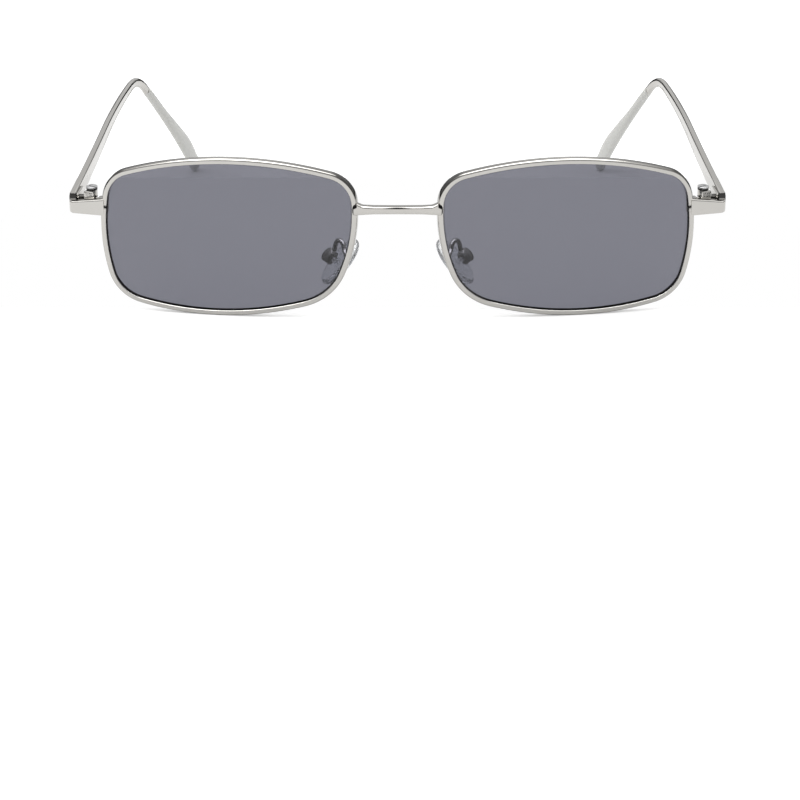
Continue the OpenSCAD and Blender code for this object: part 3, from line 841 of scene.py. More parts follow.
@dataclass
class Corner:
    """The end piece with its rim lock and the front half of the hinge."""

    rims: RimAndLens
    reach: float = 7.15
    strip_t: float = 1.55
    strip_h: float = 3.8
    hinge_z: float = 5.1
    hinge_inset: float = 5.0
    hinge_lift: float = 0.35
    slant: float = 20.0
    thick: float = 1.9
    height: float = 3.9
    outer_height: float = 2.8
    drop: float = 0.85
    proud: float = 0.4
    end_return: float = 0.3
    butt_ahead: float = 0.7
    butt_step: float = 0.3
    barrel_r: float = 1.2
    barrel_h: float = 4.5
    barrel_gap: float = 0.1
    pin_r: float = 0.7
    head_r: float = 1.25
    head_h: float = 0.7
    leaf_t: float = 0.5
    lock_x: float = 1.5
    lock_d: float = 2.2
    lock_w: float = 2.3
    lock_top: float = 1.25
    lock_low: float = -2.0
    lock_pin_r: float = 0.6
    lock_head_r: float = 1.05
    lock_head_h: float = 0.5
    slot_w: float = 0.3
    slot_d: float = 0.3
    screw_turn: float = 35.0
    bevel: float = 0.08
    power: float = 0.3
    # Painted shade on the plate's tail at the butt joint.
    butt_shade: float = 0.9
    # Painted shade round the walls of the hinge's leaf and stems.
    stem_shade: float = 0.9

    def __post_init__(self) -> None:
        """Finds where the plate starts, how long it is and where the hinge stands on it."""
        outline = self.rims.outline
        u = outline.temple_u(self.hinge_z)
        self.outer_x = self.rims.point(outline.width / 2, outline.temple_z, 0).x + self.reach
        self.bend_r = self.strip_t / 2 + 0.025
        self.a = math.radians(self.slant)
        self.px = self.rims.point(u - self.rims.face * 0.8, self.hinge_z, 0).x
        self.py = self.rims.point(u, self.hinge_z, 0).y - self.proud + self.thick / 2
        self.length = (self.outer_x - self.strip_t / 2 - self.bend_r * (1 - math.sin(self.a))
                       - self.px) / math.cos(self.a)
        self.butt_y = (self.py + self.length * math.sin(self.a) + self.bend_r * math.cos(self.a)
                       + self.end_return)
        self.pivot = Vector((self.outer_x - self.hinge_inset, self.butt_y + self.butt_ahead,
                             self.hinge_z))
        self.local = spin(self.pivot.x - self.px, self.pivot.y - self.py, -self.a)

    @property
    def barrel_one(self) -> float:
        """Height of one of the three barrels."""
        return (self.barrel_h - 2 * self.barrel_gap) / 3

    def in_plate(self, p: Vector) -> Vector:
        """Puts a point given along the plate, back from it and up into the upright frame."""
        x, y = spin(p.x, p.y, self.a)
        return Vector((self.px + x, self.py + y, self.hinge_z + p.z))

    def in_lock(self, p: Vector) -> Vector:
        """Puts a point given about the middle of the rim lock into the upright frame."""
        return self.in_plate(p + Vector((self.lock_x, (self.thick + self.lock_d) / 2, 0)))

    def at_hinge(self, p: Vector) -> Vector:
        """Puts a point given about the middle of the barrels into the upright frame."""
        return p + self.pivot + Vector((0, 0, self.hinge_lift))

    def plate(self) -> Shell:
        """The bent plate, from the rim round the corner to the temple, with painted shade on its
        tail.

        Returns:
            The marked surface.
        """
        a, r = self.a, self.bend_r
        back = self.end_return
        ends = [(self.length * k / 12, 0.0) for k in range(12)]
        ends += [(self.length, (math.pi / 2 - a) * k / 18) for k in range(19)]

        def rail(run: float, turn: float) -> Vector:
            """The plate's middle line.

            Args:
                run: Length along the flat part.
                turn: Angle round the bend, in radians.

            Returns:
                The point.
            """
            return Vector((self.px + run * math.cos(a) + r * (math.sin(a + turn) - math.sin(a)),
                           self.py + run * math.sin(a) + r * (math.cos(a) - math.cos(a + turn)),
                           self.hinge_z))

        def ring(p: Vector, heading: float, w: float, h: float) -> Ring:
            """A section across the plate, w thick and h high."""
            return [p + Vector((-q * math.sin(heading), q * math.cos(heading), z))
                    for q, z in oval(w, h, self.power, 48)]

        rings = []
        for run, turn in ends:
            t = (run / self.length + turn / (math.pi / 2 - a)) / 2
            w = self.thick + (self.strip_t - self.thick) * t
            out = run / self.length
            h = self.height + (self.outer_height - self.height) * out
            rings.append(ring(rail(run, turn) - Vector((0, 0, self.drop * out)), a + turn, w, h))
        tail = rail(self.length, math.pi / 2 - a)
        last_h = self.strip_h - self.butt_step
        for share in (0.2, 0.4, 0.6, 0.8, 0.93):
            h = self.outer_height + (last_h - self.outer_height) * share
            shift = Vector((0, back * share, -self.drop * (1 - share)))
            rings.append(ring(tail + shift, math.pi / 2, self.strip_t, h))
        rings.append(ring(tail + Vector((0, back, 0)), math.pi / 2, self.strip_t - 2 * self.bevel,
                          last_h - 2 * self.bevel))
        shell = loft(rings)
        shell.shades = [0.0 if k < len(ends) else self.butt_shade
                        for k in range(len(rings)) for _ in rings[0]]
        return shell

    def lock_block(self, low: float, high: float) -> Shell:
        """One block of the rim lock.

        Args:
            low: Its lower face, from the hinge's height.
            high: Its upper face.

        Returns:
            The block.
        """
        outline = rounded_rect(self.lock_w, self.lock_d, 0.55)
        return slab(outline, low, high, 0.1).moved(self.in_lock)

    def lock_screw(self) -> list[Shell]:
        """The screw that draws the two blocks together from below.

        Returns:
            The shank and the slotted head.
        """
        shank = barrel(self.lock_pin_r, self.lock_low, self.lock_top + 0.02, 0.05)
        head = slotted_head(self.lock_head_r, self.lock_head_h, self.slot_w, self.slot_d)
        turned = [s.moved(lambda p: Vector((p.x, -p.y, self.lock_low - p.z))) for s in head]
        return [s.moved(self.in_lock) for s in [shank] + turned]

    def front_hinge(self) -> list[Shell]:
        """The leaf, the two stems and the two barrels on the end piece, with painted shade round
        the walls of the leaf and stems.

        Returns:
            The marked surfaces.
        """
        leaf_y = self.thick / 2
        depth = self.local[1] - leaf_y
        leaf_x = self.local[0] - 0.1
        leaf = slab(rounded_rect(2 * self.barrel_r + 0.2, self.barrel_h, 0.5), 0, self.leaf_t, 0.2,
                    self.stem_shade)
        shells = [leaf.moved(lambda p: self.in_plate(
            Vector((leaf_x + p.x, leaf_y + p.z, self.hinge_lift + p.y))))]
        centre = Vector((self.local[0], leaf_y + depth / 2, self.hinge_lift))
        for low in (-self.barrel_h / 2, self.barrel_h / 2 - self.barrel_one):
            high = low + self.barrel_one
            shells.append(knuckle(self.barrel_r, low, high).moved(self.at_hinge))
            stem = slab(rounded_rect(2 * self.barrel_r - 0.4, depth, 0.05), low + 0.02, high - 0.02,
                        0.2, self.stem_shade)
            shells.append(stem.moved(lambda p: self.in_plate(p + centre)))
        return shells

    def hinge_screw(self) -> list[Shell]:
        """The hinge's screw with its slotted head on top.

        Returns:
            The shank and the slotted head.
        """
        half = self.barrel_h / 2
        turn = math.radians(self.screw_turn)
        shank = barrel(self.pin_r, -half, half, 0.05)
        head = slotted_head(self.head_r, self.head_h, self.slot_w, self.slot_d)
        turned = [s.moved(lambda p: Vector((*spin(p.x, p.y, turn), p.z + half))) for s in head]
        return [s.moved(self.at_hinge) for s in [shank] + turned]

    def build(self, bench: Bench, side: Side) -> None:
        """Makes the end piece, the rim lock and the front hinge of one half.

        Args:
            bench: Makes the pieces.
            side: The half.
        """
        cut = self.rims.outline.split_z - self.hinge_z
        gap = self.rims.outline.split_gap / 2
        upper = self.lock_block(cut + gap, self.lock_top)
        lower = self.lock_block(self.lock_low, cut - gap)
        bench.pair("corner_plate", "end_piece", [self.plate()], Slot.SILVER, side)
        bench.pair("lock_block_upper", "rim_lock_upper", [upper], Slot.SILVER, side)
        bench.pair("lock_block_lower", "rim_lock_lower", [lower], Slot.SILVER, side)
        bench.pair("lock_screw", "rim_screw", self.lock_screw(), Slot.SCREW, side)
        bench.pair("hinge_front", "front_hinge", self.front_hinge(), Slot.SILVER, side)
        bench.pair("hinge_pin", "hinge_screw", self.hinge_screw(), Slot.SCREW, side)


# Temples


@dataclass
class Temple:
    """The temple strip with its hinge half, core wire and plastic tip."""

    corner: Corner
    length: float = 139.0
    tip_len: float = 41.0
    mid_h: float = 3.3
    end_h: float = 2.3
    level: float = 10.0
    converge: float = 4.7
    converge_mid: float = 1.7
    converge_end: float = 3.9
    arch: float = 3.7
    drop: float = 44.0
    sag: float = 8.0
    turn_in: float = 17.3
    ease: float = 0.4
    bend_len: float = 9.5
    turn_lead: float = 4.0
    core_r: float = 0.6
    core_short: float = 9.0
    tip_t: float = 2.2
    neck_h: float = 1.9
    tip_h: float = 4.6
    leaf_len: float = 6.5
    butt_gap: float = 0.25
    step: float = 0.5
    bevel: float = 0.07
    rounder: float = 0.5
    tip_power: float = 0.85
    mouth: float = 0.86
    end_lift: float = 0.35
    # Painted shade on the strip's butt end.
    butt_shade: float = 0.8
    # Painted shade on the hinge arm between the barrels.
    arm_shade: float = 0.85

    def __post_init__(self) -> None:
        """Lays the middle line from the hinge to the end of the tip."""
        self.tip_start = self.length - self.tip_len
        self.bend_end = self.tip_start - 1
        self.bend_start = self.bend_end - self.bend_len
        self.core_end = self.length - self.core_short
        c = self.corner
        p = Vector((c.outer_x - c.strip_t / 2, c.butt_y + self.butt_gap, c.hinge_z))
        self.root = p.copy()
        self.track = []
        for i in range(math.ceil(self.length / self.step) + 1):
            self.track.append(p.copy())
            p = p + self.step * self.travel((i + 0.5) * self.step)

    def yaw(self, s: float) -> float:
        """How far the temple heads inwards.

        Args:
            s: Length from the hinge.

        Returns:
            The angle in radians.
        """
        return math.radians(lookup(s, [
            (0, self.converge), (self.bend_start / 2, self.converge_mid),
            (self.bend_start - self.turn_lead, self.converge_end),
            (self.bend_end, self.converge_end + self.turn_in),
            (self.length, self.converge_end + self.turn_in - self.ease)]))

    def slope(self, s: float) -> float:
        """How steeply the temple rises.

        Args:
            s: Length from the hinge.

        Returns:
            The angle in radians.
        """
        return math.radians(lookup(s, [
            (0, self.arch), (self.bend_start, -self.arch), (self.bend_end, -self.drop),
            (self.length, -self.drop - self.sag)]))

    def travel(self, s: float) -> Vector:
        """Direction along the temple."""
        y, e = self.yaw(s), self.slope(s)
        return Vector((-math.sin(y) * math.cos(e), math.cos(y) * math.cos(e), math.sin(e)))

    def ring(self, s: float, section: Sequence[tuple[float, float]], lift: float = 0.0) -> Ring:
        """A section across the temple.

        Args:
            s: Length from the hinge.
            section: Points of the section, out from the head and up.
            lift: How far the section is raised.

        Returns:
            The section's points.
        """
        i = min(int(s / self.step), len(self.track) - 2)
        p = self.track[i].lerp(self.track[i + 1], s / self.step - i)
        y, e = self.yaw(s), self.slope(s)
        out = Vector((math.cos(y), math.sin(y), 0))
        up = Vector((math.sin(y) * math.sin(e), -math.cos(y) * math.sin(e), math.cos(e)))
        return [p - out * a + up * (b + lift) for a, b in section]

    def strip(self) -> list[Shell]:
        """The metal strip, with painted shade at its butt end, and the core wire that runs on
        inside the tip.

        Returns:
            The marked strip and the wire.
        """
        t = self.corner.strip_t
        heights = [(self.level, self.corner.strip_h), (self.length / 3, self.mid_h),
                   (self.bend_start, self.end_h), (self.tip_start, self.end_h - 0.2)]
        stations = [0.0, 0.12] + spread(0.6, self.bend_start - self.turn_lead, 90)
        stations += spread(self.bend_start - self.turn_lead + 0.3, self.tip_start, 48)
        rings = []
        for s in stations:
            power = self.corner.power + self.rounder * s / self.tip_start
            shrink = 2 * self.bevel if s == 0 else 0.0
            rings.append(self.ring(s, oval(t - shrink, lookup(s, heights) - shrink, power, 40)))
        wire = [self.ring(s, oval(2 * self.core_r, 2 * self.core_r, 1, 20))
                for s in spread(self.tip_start - 1, self.core_end, 60)]
        band = loft(rings)
        band.shades = [self.butt_shade if s < 0.6 else 0.0 for s in stations for _ in rings[0]]
        return [band, loft(wire)]

    def tip_height(self, s: float) -> float:
        """Height of the tip before its end is rounded.

        Args:
            s: Length from the hinge.

        Returns:
            The height.
        """
        return lookup(s, [
            (self.tip_start, self.neck_h), (self.tip_start + self.tip_len * 0.3, self.neck_h + 0.3),
            (self.tip_start + self.tip_len * 0.55, (self.neck_h + self.tip_h) / 2 + 0.2),
            (self.tip_start + self.tip_len * 0.75, self.tip_h),
            (self.tip_start + self.tip_len * 0.93, self.tip_h - 0.7)])

    def tip(self) -> Shell:
        """The plastic tip, widest before its round end.

        Returns:
            The closed surface.
        """

        def eased(s: float) -> float:
            """The tip's height with its changes of taper smoothed."""
            return sum(self.tip_height(s + d) for d in (-3, -1.5, 0, 1.5, 3)) / 5

        def round_off(s: float, r: float) -> float:
            """Share of the full size near the end."""
            past = max(0.0, s - self.length + r) / r
            return math.sqrt(max(0.002, 1 - past * past))

        r = self.tip_h / 2
        stations = [self.tip_start, self.tip_start + 0.15]
        stations += spread(self.tip_start + 0.5, self.length - r, 70)
        stations += [self.length - r + r * math.sin(math.radians(6 * k)) for k in range(1, 15)]
        stations.append(self.length - 0.005)
        rings = []
        for s in stations:
            size = self.mouth if s == self.tip_start else 1.0
            full, share = eased(s), round_off(s, r)
            t = self.tip_t * round_off(s, r * 0.7) * size
            lift = (full * share - self.neck_h) / 2 + full * (1 - share) * self.end_lift
            rings.append(self.ring(s, oval(t, full * share * size, self.tip_power, 40), lift))
        return loft(rings)

    def hinge(self) -> list[Shell]:
        """The leaf on the inside of the strip and the barrel between the front's two.

        Returns:
            The leaf, the barrel and the arm between them, which is painted dark as shade.
        """
        c = self.corner
        inner = oval(c.strip_t, c.strip_h, c.power, 12)[0][0]
        yaw = math.radians(self.converge)
        r = (c.strip_h - 0.5) / 2
        outline = [(0.0, -r), *arc(self.leaf_len - r, 0, r, -90, 90, 18), (0.0, r)]

        def in_strip(p: Vector) -> Vector:
            """Puts a point along the strip, up and in from its inner face into place."""
            return self.root + Vector((*spin(p.z - inner - c.leaf_t, p.x + 0.2, yaw), p.y))

        half = c.barrel_one / 2
        reach = c.hinge_inset - c.strip_t - c.leaf_t / 2
        arm = slab(rounded_rect(reach, c.barrel_r, 0.05), -half + 0.02, half - 0.02, 0.08)
        centre = Vector((reach / 2, c.barrel_r / 2, 0))
        return [slab(outline, 0, c.leaf_t, 0.08).moved(in_strip),
                knuckle(c.barrel_r, -half, half).moved(c.at_hinge),
                arm.marked(lambda p: self.arm_shade).moved(lambda p: c.at_hinge(p + centre))]

    def build(self, bench: Bench, side: Side) -> None:
        """Makes the temple, its tip and its hinge half.

        Args:
            bench: Makes the pieces.
            side: The half.
        """
        body = f"temple_{side.word}"
        bench.pair("strip", "temple", self.strip(), Slot.SILVER, side, body)
        bench.pair("tip_sleeve", "temple_tip", [self.tip()], Slot.TIP, side, body)
        bench.pair("hinge_temple", "temple_hinge", self.hinge(), Slot.SILVER, side, body)


# Nose pads


@dataclass
class NosePad:
    """A silicone pad in a metal cup on a looped wire arm."""

    rims: RimAndLens
    out: float = 3.7
    behind: float = 6.3
    z: float = -6.5
    length: float = 12.0
    width: float = 7.2
    thick: float = 2.4
    lean: float = 42.0
    splay: float = 22.0
    cup_r: float = 1.7
    cup_low: float = -1.3
    cup_high: float = 0.6
    stem: float = 1.3
    rise: float = 0.4
    boss_w: float = 1.1
    boss_r: float = 0.8
    boss_play: float = 0.08
    pin_r: float = 0.35
    arm_r: float = 0.52
    # Painted shade on the band round the pad's outline.
    rim_shade: float = 0.5
    # Painted shade on the cup and the arm, which stay light only on top, as if lit from above.
    metal_shade: float = 0.92
    crown: Table = ((0.0, 0.8), (0.02, 0.87), (0.07, 0.93), (0.15, 0.975), (0.26, 0.997),
                    (0.34, 1.0), (0.44, 0.99), (0.55, 0.955), (0.66, 0.9), (0.76, 0.82),
                    (0.85, 0.71), (0.92, 0.58), (0.97, 0.42), (1.0, 0.2))
    loop: Sequence[tuple[float, float, float]] = (
        (-3.2, -4.3, 2.9), (-2.85, -3.2, 4.1), (-2.2, -2.3, 4.65), (-1.55, -1.5, 4.3),
        (-1.15, -0.6, 3.2))

    def __post_init__(self) -> None:
        """Finds where the pad's pivot stands beside and behind the rim."""
        nose = self.rims.outline.nose_u(self.z)
        self.x = self.rims.point(nose, self.z, 0).x + self.out
        self.y = self.rims.point(nose, self.z, self.rims.depth).y + self.behind

    def in_pad(self, p: Vector) -> Vector:
        """Puts a point of the pad into the upright frame.

        Args:
            p: Point given across the pad, along it and out of its face.

        Returns:
            The point's place.
        """
        along, up = spin(-p.z, p.y, math.radians(self.lean))
        x, y = spin(along, -p.x, -math.radians(self.splay))
        return Vector((self.x + x, self.y + y, self.z + up))

    def across_pad(self, p: Vector) -> Vector:
        """Lays a turned part along the pad's width and puts it into place."""
        return self.in_pad(Vector((p.z, p.y, -p.x)))

    def pad(self) -> list[Shell]:
        """The crowned oval pad and the stem that it rocks on.

        Returns:
            The pad with painted shade round its outline, the stem and the boss.
        """
        back = self.cup_high + self.stem
        rings = [[self.in_pad(Vector((x, y + self.rise, back + self.thick * h)))
                  for x, y in oval(self.width * size, self.length * size, 0.94, 64)]
                 for h, size in self.crown]
        body = loft(rings)
        body.shades = [self.rim_shade if 0.2 < h < 0.5 else 0.0
                       for h, _ in self.crown for _ in rings[0]]
        outline = rounded_rect(self.boss_w, 2 * self.boss_r, 0.2)
        stem = slab(outline, 0.3 - self.boss_r, back + 0.4, 0.1)
        boss = barrel(self.boss_r, -self.boss_w / 2, self.boss_w / 2, 0.08)
        return [body, stem.moved(self.in_pad), boss.moved(self.across_pad)]

    def cup(self) -> list[Shell]:
        """The metal cup: a round floor and two cheeks beside the stem.

        Returns:
            The surfaces, with painted shade.
        """
        shells = [barrel(self.cup_r, self.cup_low, -self.boss_r - 0.1, 0.18)]
        half = math.degrees(math.acos((self.boss_w / 2 + self.boss_play) / self.cup_r))
        for turn in (0, 180):
            outline = arc(0, 0, self.cup_r, turn - half, turn + half, 24)
            shells.append(slab(outline, -self.boss_r - 0.15, self.cup_high, 0.1))
        return [shell.moved(self.in_pad).marked(self.cup_shade) for shell in shells]

    def cup_shade(self, p: Vector) -> float:
        """Painted shade on the cup, as if lit from above: dark all over but its upper edge."""
        return self.metal_shade * min(1.0, max(0.0, 1.75 - (p.z - self.z) / self.cup_r * 1.5))

    def screw(self) -> list[Shell]:
        """The screw through the cup and the stem.

        Returns:
            The shank and the slotted head.
        """
        shank = barrel(self.pin_r, 0.1 - self.cup_r, self.cup_r, 0.03, 24)
        head = [s.moved(lambda p: p + Vector((0, 0, self.cup_r)))
                for s in slotted_head(self.pin_r + 0.25, 0.35, 0.15, 0.2)]
        return [s.moved(self.across_pad) for s in [shank] + head]

    def arm(self) -> Shell:
        """The wire from the back of the rim, over a loop and down into the top of the cup.

        Returns:
            The wire, with painted shade on its sides and underneath, light only on top.
        """
        foot_z = self.z + 1.9
        u = self.rims.outline.nose_u(foot_z) + self.rims.face * 0.5
        foot = self.rims.point(u, foot_z, self.rims.depth - 0.3)
        pivot = Vector((self.x, self.y, self.z))
        knots = [foot] + [pivot + Vector(d) for d in self.loop]
        middle = (self.cup_low + self.cup_high) / 2
        knots += [self.in_pad(Vector((0, self.cup_r * share, middle))) for share in (1, 0.5)]
        line = smooth_line(knots, 12)
        around = 20
        wire = tube(line, self.arm_r, around)
        rises = [(p - line[k // around]).z / self.arm_r for k, p in enumerate(wire.points)]
        wire.shades = [self.metal_shade * min(1.0, max(0.0, 1.1 - 1.3 * rise)) for rise in rises]
        return wire

    def build(self, bench: Bench, side: Side) -> None:
        """Makes the pad, its cup, screw and arm.

        Args:
            bench: Makes the pieces.
            side: The half.
        """
        bench.pair("pad_arm_wire", "pad_arm", [self.arm()], Slot.SILVER, side)
        bench.pair("pad_cup", "pad_box", self.cup(), Slot.SILVER, side)
        bench.pair("pad_pin", "pad_screw", self.screw(), Slot.SCREW, side)
        bench.pair("pad_soft", "nose_pad", self.pad(), Slot.PAD, side, f"pad_{side.word}")


# Finishes


class Nodes:
    """A small helper that places shader nodes and links them."""

    def __init__(self, tree: bpy.types.NodeTree) -> None:
        """Keeps the node tree."""
        self.tree = tree

    def add(self, kind: str, **values: object) -> bpy.types.Node:
        """Places a node and sets its input sockets or properties.

        Args:
            kind: The node's type.
            values: Input sockets by name with underscores for spaces, or properties.

        Returns:
            The node.
        """
        node = self.tree.nodes.new(kind)
        for key, value in values.items():
            name = key.replace("_", " ")
            if name in node.inputs:
                node.inputs[name].default_value = value
            else:
                setattr(node, key, value)
        return node

    def link(self, source: bpy.types.NodeSocket, target: bpy.types.NodeSocket) -> None:
        """Joins an output to an input."""
        self.tree.links.new(source, target)

    def math(self, operation: str, first: bpy.types.NodeSocket,
             second: bpy.types.NodeSocket | float) -> bpy.types.NodeSocket:
        """Works out a number from two others.

        Args:
            operation: The Math node's operation.
            first: Output that gives the first number.
            second: Output that gives the second number, or the number itself.

        Returns:
            The output with the answer.
        """
        node = self.add("ShaderNodeMath", operation=operation)
        self.link(first, node.inputs[0])
        if isinstance(second, float):
            node.inputs[1].default_value = second
        else:
            self.link(second, node.inputs[1])
        return node.outputs[0]

    def noise(self, vector: bpy.types.NodeSocket, scale: bpy.types.NodeSocket,
              detail: float) -> bpy.types.NodeSocket:
        """Places a noise texture.

        Args:
            vector: Output that gives the place.
            scale: Output that gives the scale.
            detail: Layers of finer noise.

        Returns:
            The output with the noise.
        """
        node = self.add("ShaderNodeTexNoise", Detail=detail)
        self.link(vector, node.inputs["Vector"])
        self.link(scale, node.inputs["Scale"])
        return node.outputs["Fac"]

    def blend(self, share: bpy.types.NodeSocket, first: bpy.types.NodeSocket,
              second: bpy.types.NodeSocket, target: bpy.types.NodeSocket) -> None:
        """Mixes two colours and joins the outcome to an input.

        Args:
            share: Output that gives the second colour's share.
            first: Output with the first colour.
            second: Output with the second colour.
            target: The input that takes the mixed colour.
        """
        node = self.add("ShaderNodeMix", data_type="RGBA")
        for source, k in ((share, 0), (first, 6), (second, 7)):
            self.link(source, node.inputs[k])
        self.link(node.outputs[2], target)


def new_group(name: str, inputs: dict[str, object],
              outputs: dict[str, str]) -> tuple[Nodes, bpy.types.Node, bpy.types.Node]:
    """Starts a shader node group with named sockets.

    Args:
        name: Name of the group.
        inputs: Start value of each input, where a tuple makes it a colour.
        outputs: Socket type of each output.

    Returns:
        A helper for the group's tree, and its input and output nodes.
    """
    group = bpy.data.node_groups.new(name, "ShaderNodeTree")
    for label, value in inputs.items():
        kind = "NodeSocketColor" if isinstance(value, tuple) else "NodeSocketFloat"
        socket = group.interface.new_socket(label, in_out="INPUT", socket_type=kind)
        socket.default_value = value
    for label, kind in outputs.items():
        group.interface.new_socket(label, in_out="OUTPUT", socket_type=kind)
    nodes = Nodes(group)
    return nodes, nodes.add("NodeGroupInput"), nodes.add("NodeGroupOutput")


def fine_marks() -> bpy.types.NodeTree:
    """A group for handled surfaces: faint cloudy gloss and hairline marks.

    Returns:
        The group, with Roughness and Height outputs.
    """
    nodes, start, end = new_group(
        "fine_marks", {"Roughness": 0.1, "Cloud": 0.03, "Hairline": 0.03, "Scale": 400.0},
        {"Roughness": "NodeSocketFloat", "Height": "NodeSocketFloat"})
    where = nodes.add("ShaderNodeTexCoord").outputs["Object"]
    stretch = nodes.add("ShaderNodeMapping", Rotation=(0.3, 0.2, 0.5), Scale=(1.0, 14.0, 9.0))
    nodes.link(where, stretch.inputs["Vector"])
    cloud = nodes.noise(where, start.outputs["Scale"], 3.0)
    lines = nodes.noise(stretch.outputs["Vector"], start.outputs["Scale"], 2.0)
    total = start.outputs["Roughness"]
    for texture, label in ((cloud, "Cloud"), (lines, "Hairline")):
        total = nodes.math("ADD", total, nodes.math("MULTIPLY", texture, start.outputs[label]))
    nodes.link(total, end.inputs["Roughness"])
    nodes.link(lines, end.inputs["Height"])
    return nodes.tree


def soft_mottle() -> bpy.types.NodeTree:
    """A group that drifts softly between two colours over the surface.

    Returns:
        The group, with a Color output.
    """
    nodes, start, end = new_group(
        "soft_mottle", {"Light": (1, 1, 1, 1), "Dark": (0.9, 0.9, 0.9, 1), "Scale": 150.0},
        {"Color": "NodeSocketColor"})
    where = nodes.add("ShaderNodeTexCoord").outputs["Object"]
    drift = nodes.noise(where, start.outputs["Scale"], 4.0)
    nodes.blend(drift, start.outputs["Light"], start.outputs["Dark"], end.inputs["Color"])
    return nodes.tree


def painted_shade() -> bpy.types.NodeTree:
    """A group that paints shade into a colour where the mesh is marked: shade in gaps and at edges,
    and dark reflections.

    Returns:
        The group, with a Color output.
    """
    nodes, start, end = new_group(
        "painted_shade", {"Color": (1, 1, 1, 1), "Gap": (0.01, 0.01, 0.01, 1)},
        {"Color": "NodeSocketColor"})
    mark = nodes.add("ShaderNodeAttribute", attribute_name=SHADE).outputs["Fac"]
    nodes.blend(mark, start.outputs["Color"], start.outputs["Gap"], end.inputs["Color"])
    return nodes.tree


@dataclass(frozen=True)
class Finish:
    """A surface: its two close colours, gloss, marks and the shader's fixed values."""

    name: str
    light: tuple[float, float, float]
    dark: tuple[float, float, float]
    roughness: float
    cloud: float
    hairline: float
    scale: float
    bump_mm: float
    fixed: tuple[tuple[str, object], ...] = ()

    def build(self, marks: bpy.types.NodeTree, mottle: bpy.types.NodeTree,
              shade_group: bpy.types.NodeTree) -> bpy.types.Material:
        """Makes the material.

        Args:
            marks: The group of fine marks.
            mottle: The group of drifting colour.
            shade_group: The group that paints the marked shade into the colour.

        Returns:
            The material.
        """
        material = bpy.data.materials.new(self.name)
        material.use_nodes = True
        nodes = Nodes(material.node_tree)
        shader = material.node_tree.nodes["Principled BSDF"]
        for label, value in self.fixed:
            shader.inputs[label].default_value = value
        colour = nodes.add("ShaderNodeGroup", node_tree=mottle, Light=(*self.light, 1),
                           Dark=(*self.dark, 1), Scale=self.scale * DRIFT_SCALE)
        # Painted shade from the mesh's marks darkens the colour here.
        shaded = nodes.add("ShaderNodeGroup", node_tree=shade_group)
        nodes.link(colour.outputs["Color"], shaded.inputs["Color"])
        nodes.link(shaded.outputs["Color"], shader.inputs["Base Color"])
        gloss = nodes.add("ShaderNodeGroup", node_tree=marks, Roughness=self.roughness,
                          Cloud=self.cloud, Hairline=self.hairline, Scale=self.scale)
        nodes.link(gloss.outputs["Roughness"], shader.inputs["Roughness"])
        if self.bump_mm:
            bump = nodes.add("ShaderNodeBump", Strength=1.0, Distance=self.bump_mm * MM)
            nodes.link(gloss.outputs["Height"], bump.inputs["Height"])
            nodes.link(bump.outputs["Normal"], shader.inputs["Normal"])
        return material


FINISHES = {
    Slot.SILVER: Finish("polished_silver", (0.56, 0.547, 0.52), (0.53, 0.517, 0.49), 0.05, 0.05,
                        0.03, 420.0, 0.0005, (("Metallic", 1.0),)),
    Slot.SCREW: Finish("screw_steel", (0.60, 0.60, 0.60), (0.52, 0.52, 0.53), 0.10, 0.08, 0.08,
                       700.0, 0.001, (("Metallic", 1.0),)),
    Slot.LENS: Finish("grey_tint", (0.186, 0.188, 0.224), (0.180, 0.182, 0.218), 0.0, 0.0, 0.0,
                      60.0, 0.0, (("Transmission Weight", 1.0), ("IOR", 1.5), ("Metallic", 0.0))),
    Slot.TIP: Finish("milky_plastic", (0.56, 0.56, 0.535), (0.53, 0.53, 0.51), 0.22, 0.06, 0.03,
                     260.0, 0.002, (("Subsurface Weight", 0.4), ("Subsurface Scale", 0.0012),
                                    ("Subsurface Radius", (1.0, 1.0, 0.9)), ("IOR", 1.49),
                                    ("Transmission Weight", 0.0))),
    Slot.PAD: Finish("clear_silicone", (0.95, 0.96, 0.97), (0.9, 0.92, 0.94), 0.08, 0.08, 0.02,
                     300.0, 0.003, (("Transmission Weight", 0.92), ("IOR", 1.41),
                                    ("Metallic", 0.0))),
}


# Studio


@dataclass(frozen=True)
class Card:
    """A plain rectangle that only shows in reflections: upright, or level if it has no height."""

    name: str
    start: tuple[float, float]
    end: tuple[float, float]
    low: float
    high: float
    grey: float

    def corners(self) -> list[tuple[float, float, float]]:
        """Places the card.

        Returns:
            Its corners in metres.
        """
        (xa, ya), (xb, yb) = self.start, self.end
        if self.low == self.high:
            return [(xa, ya, self.low), (xb, ya, self.low), (xb, yb, self.low), (xa, yb, self.low)]
        return [(xa, ya, self.low), (xb, yb, self.low), (xb, yb, self.high), (xa, ya, self.high)]

    def hang(self) -> None:
        """Hangs the card out of sight of the camera."""
        mesh = bpy.data.meshes.new(self.name)
        mesh.from_pydata(self.corners(), [], [(0, 1, 2, 3)])
        grey = (self.grey, self.grey, self.grey, 1)
        material, _ = plain_material(self.name, (0, 0, 0, 1), grey)
        mesh.materials.append(material)
        card = bpy.data.objects.new(self.name, mesh)
        card.visible_camera = False
        card.visible_diffuse = False
        card.visible_transmission = False
        card.visible_shadow = False
        bpy.context.scene.collection.objects.link(card)


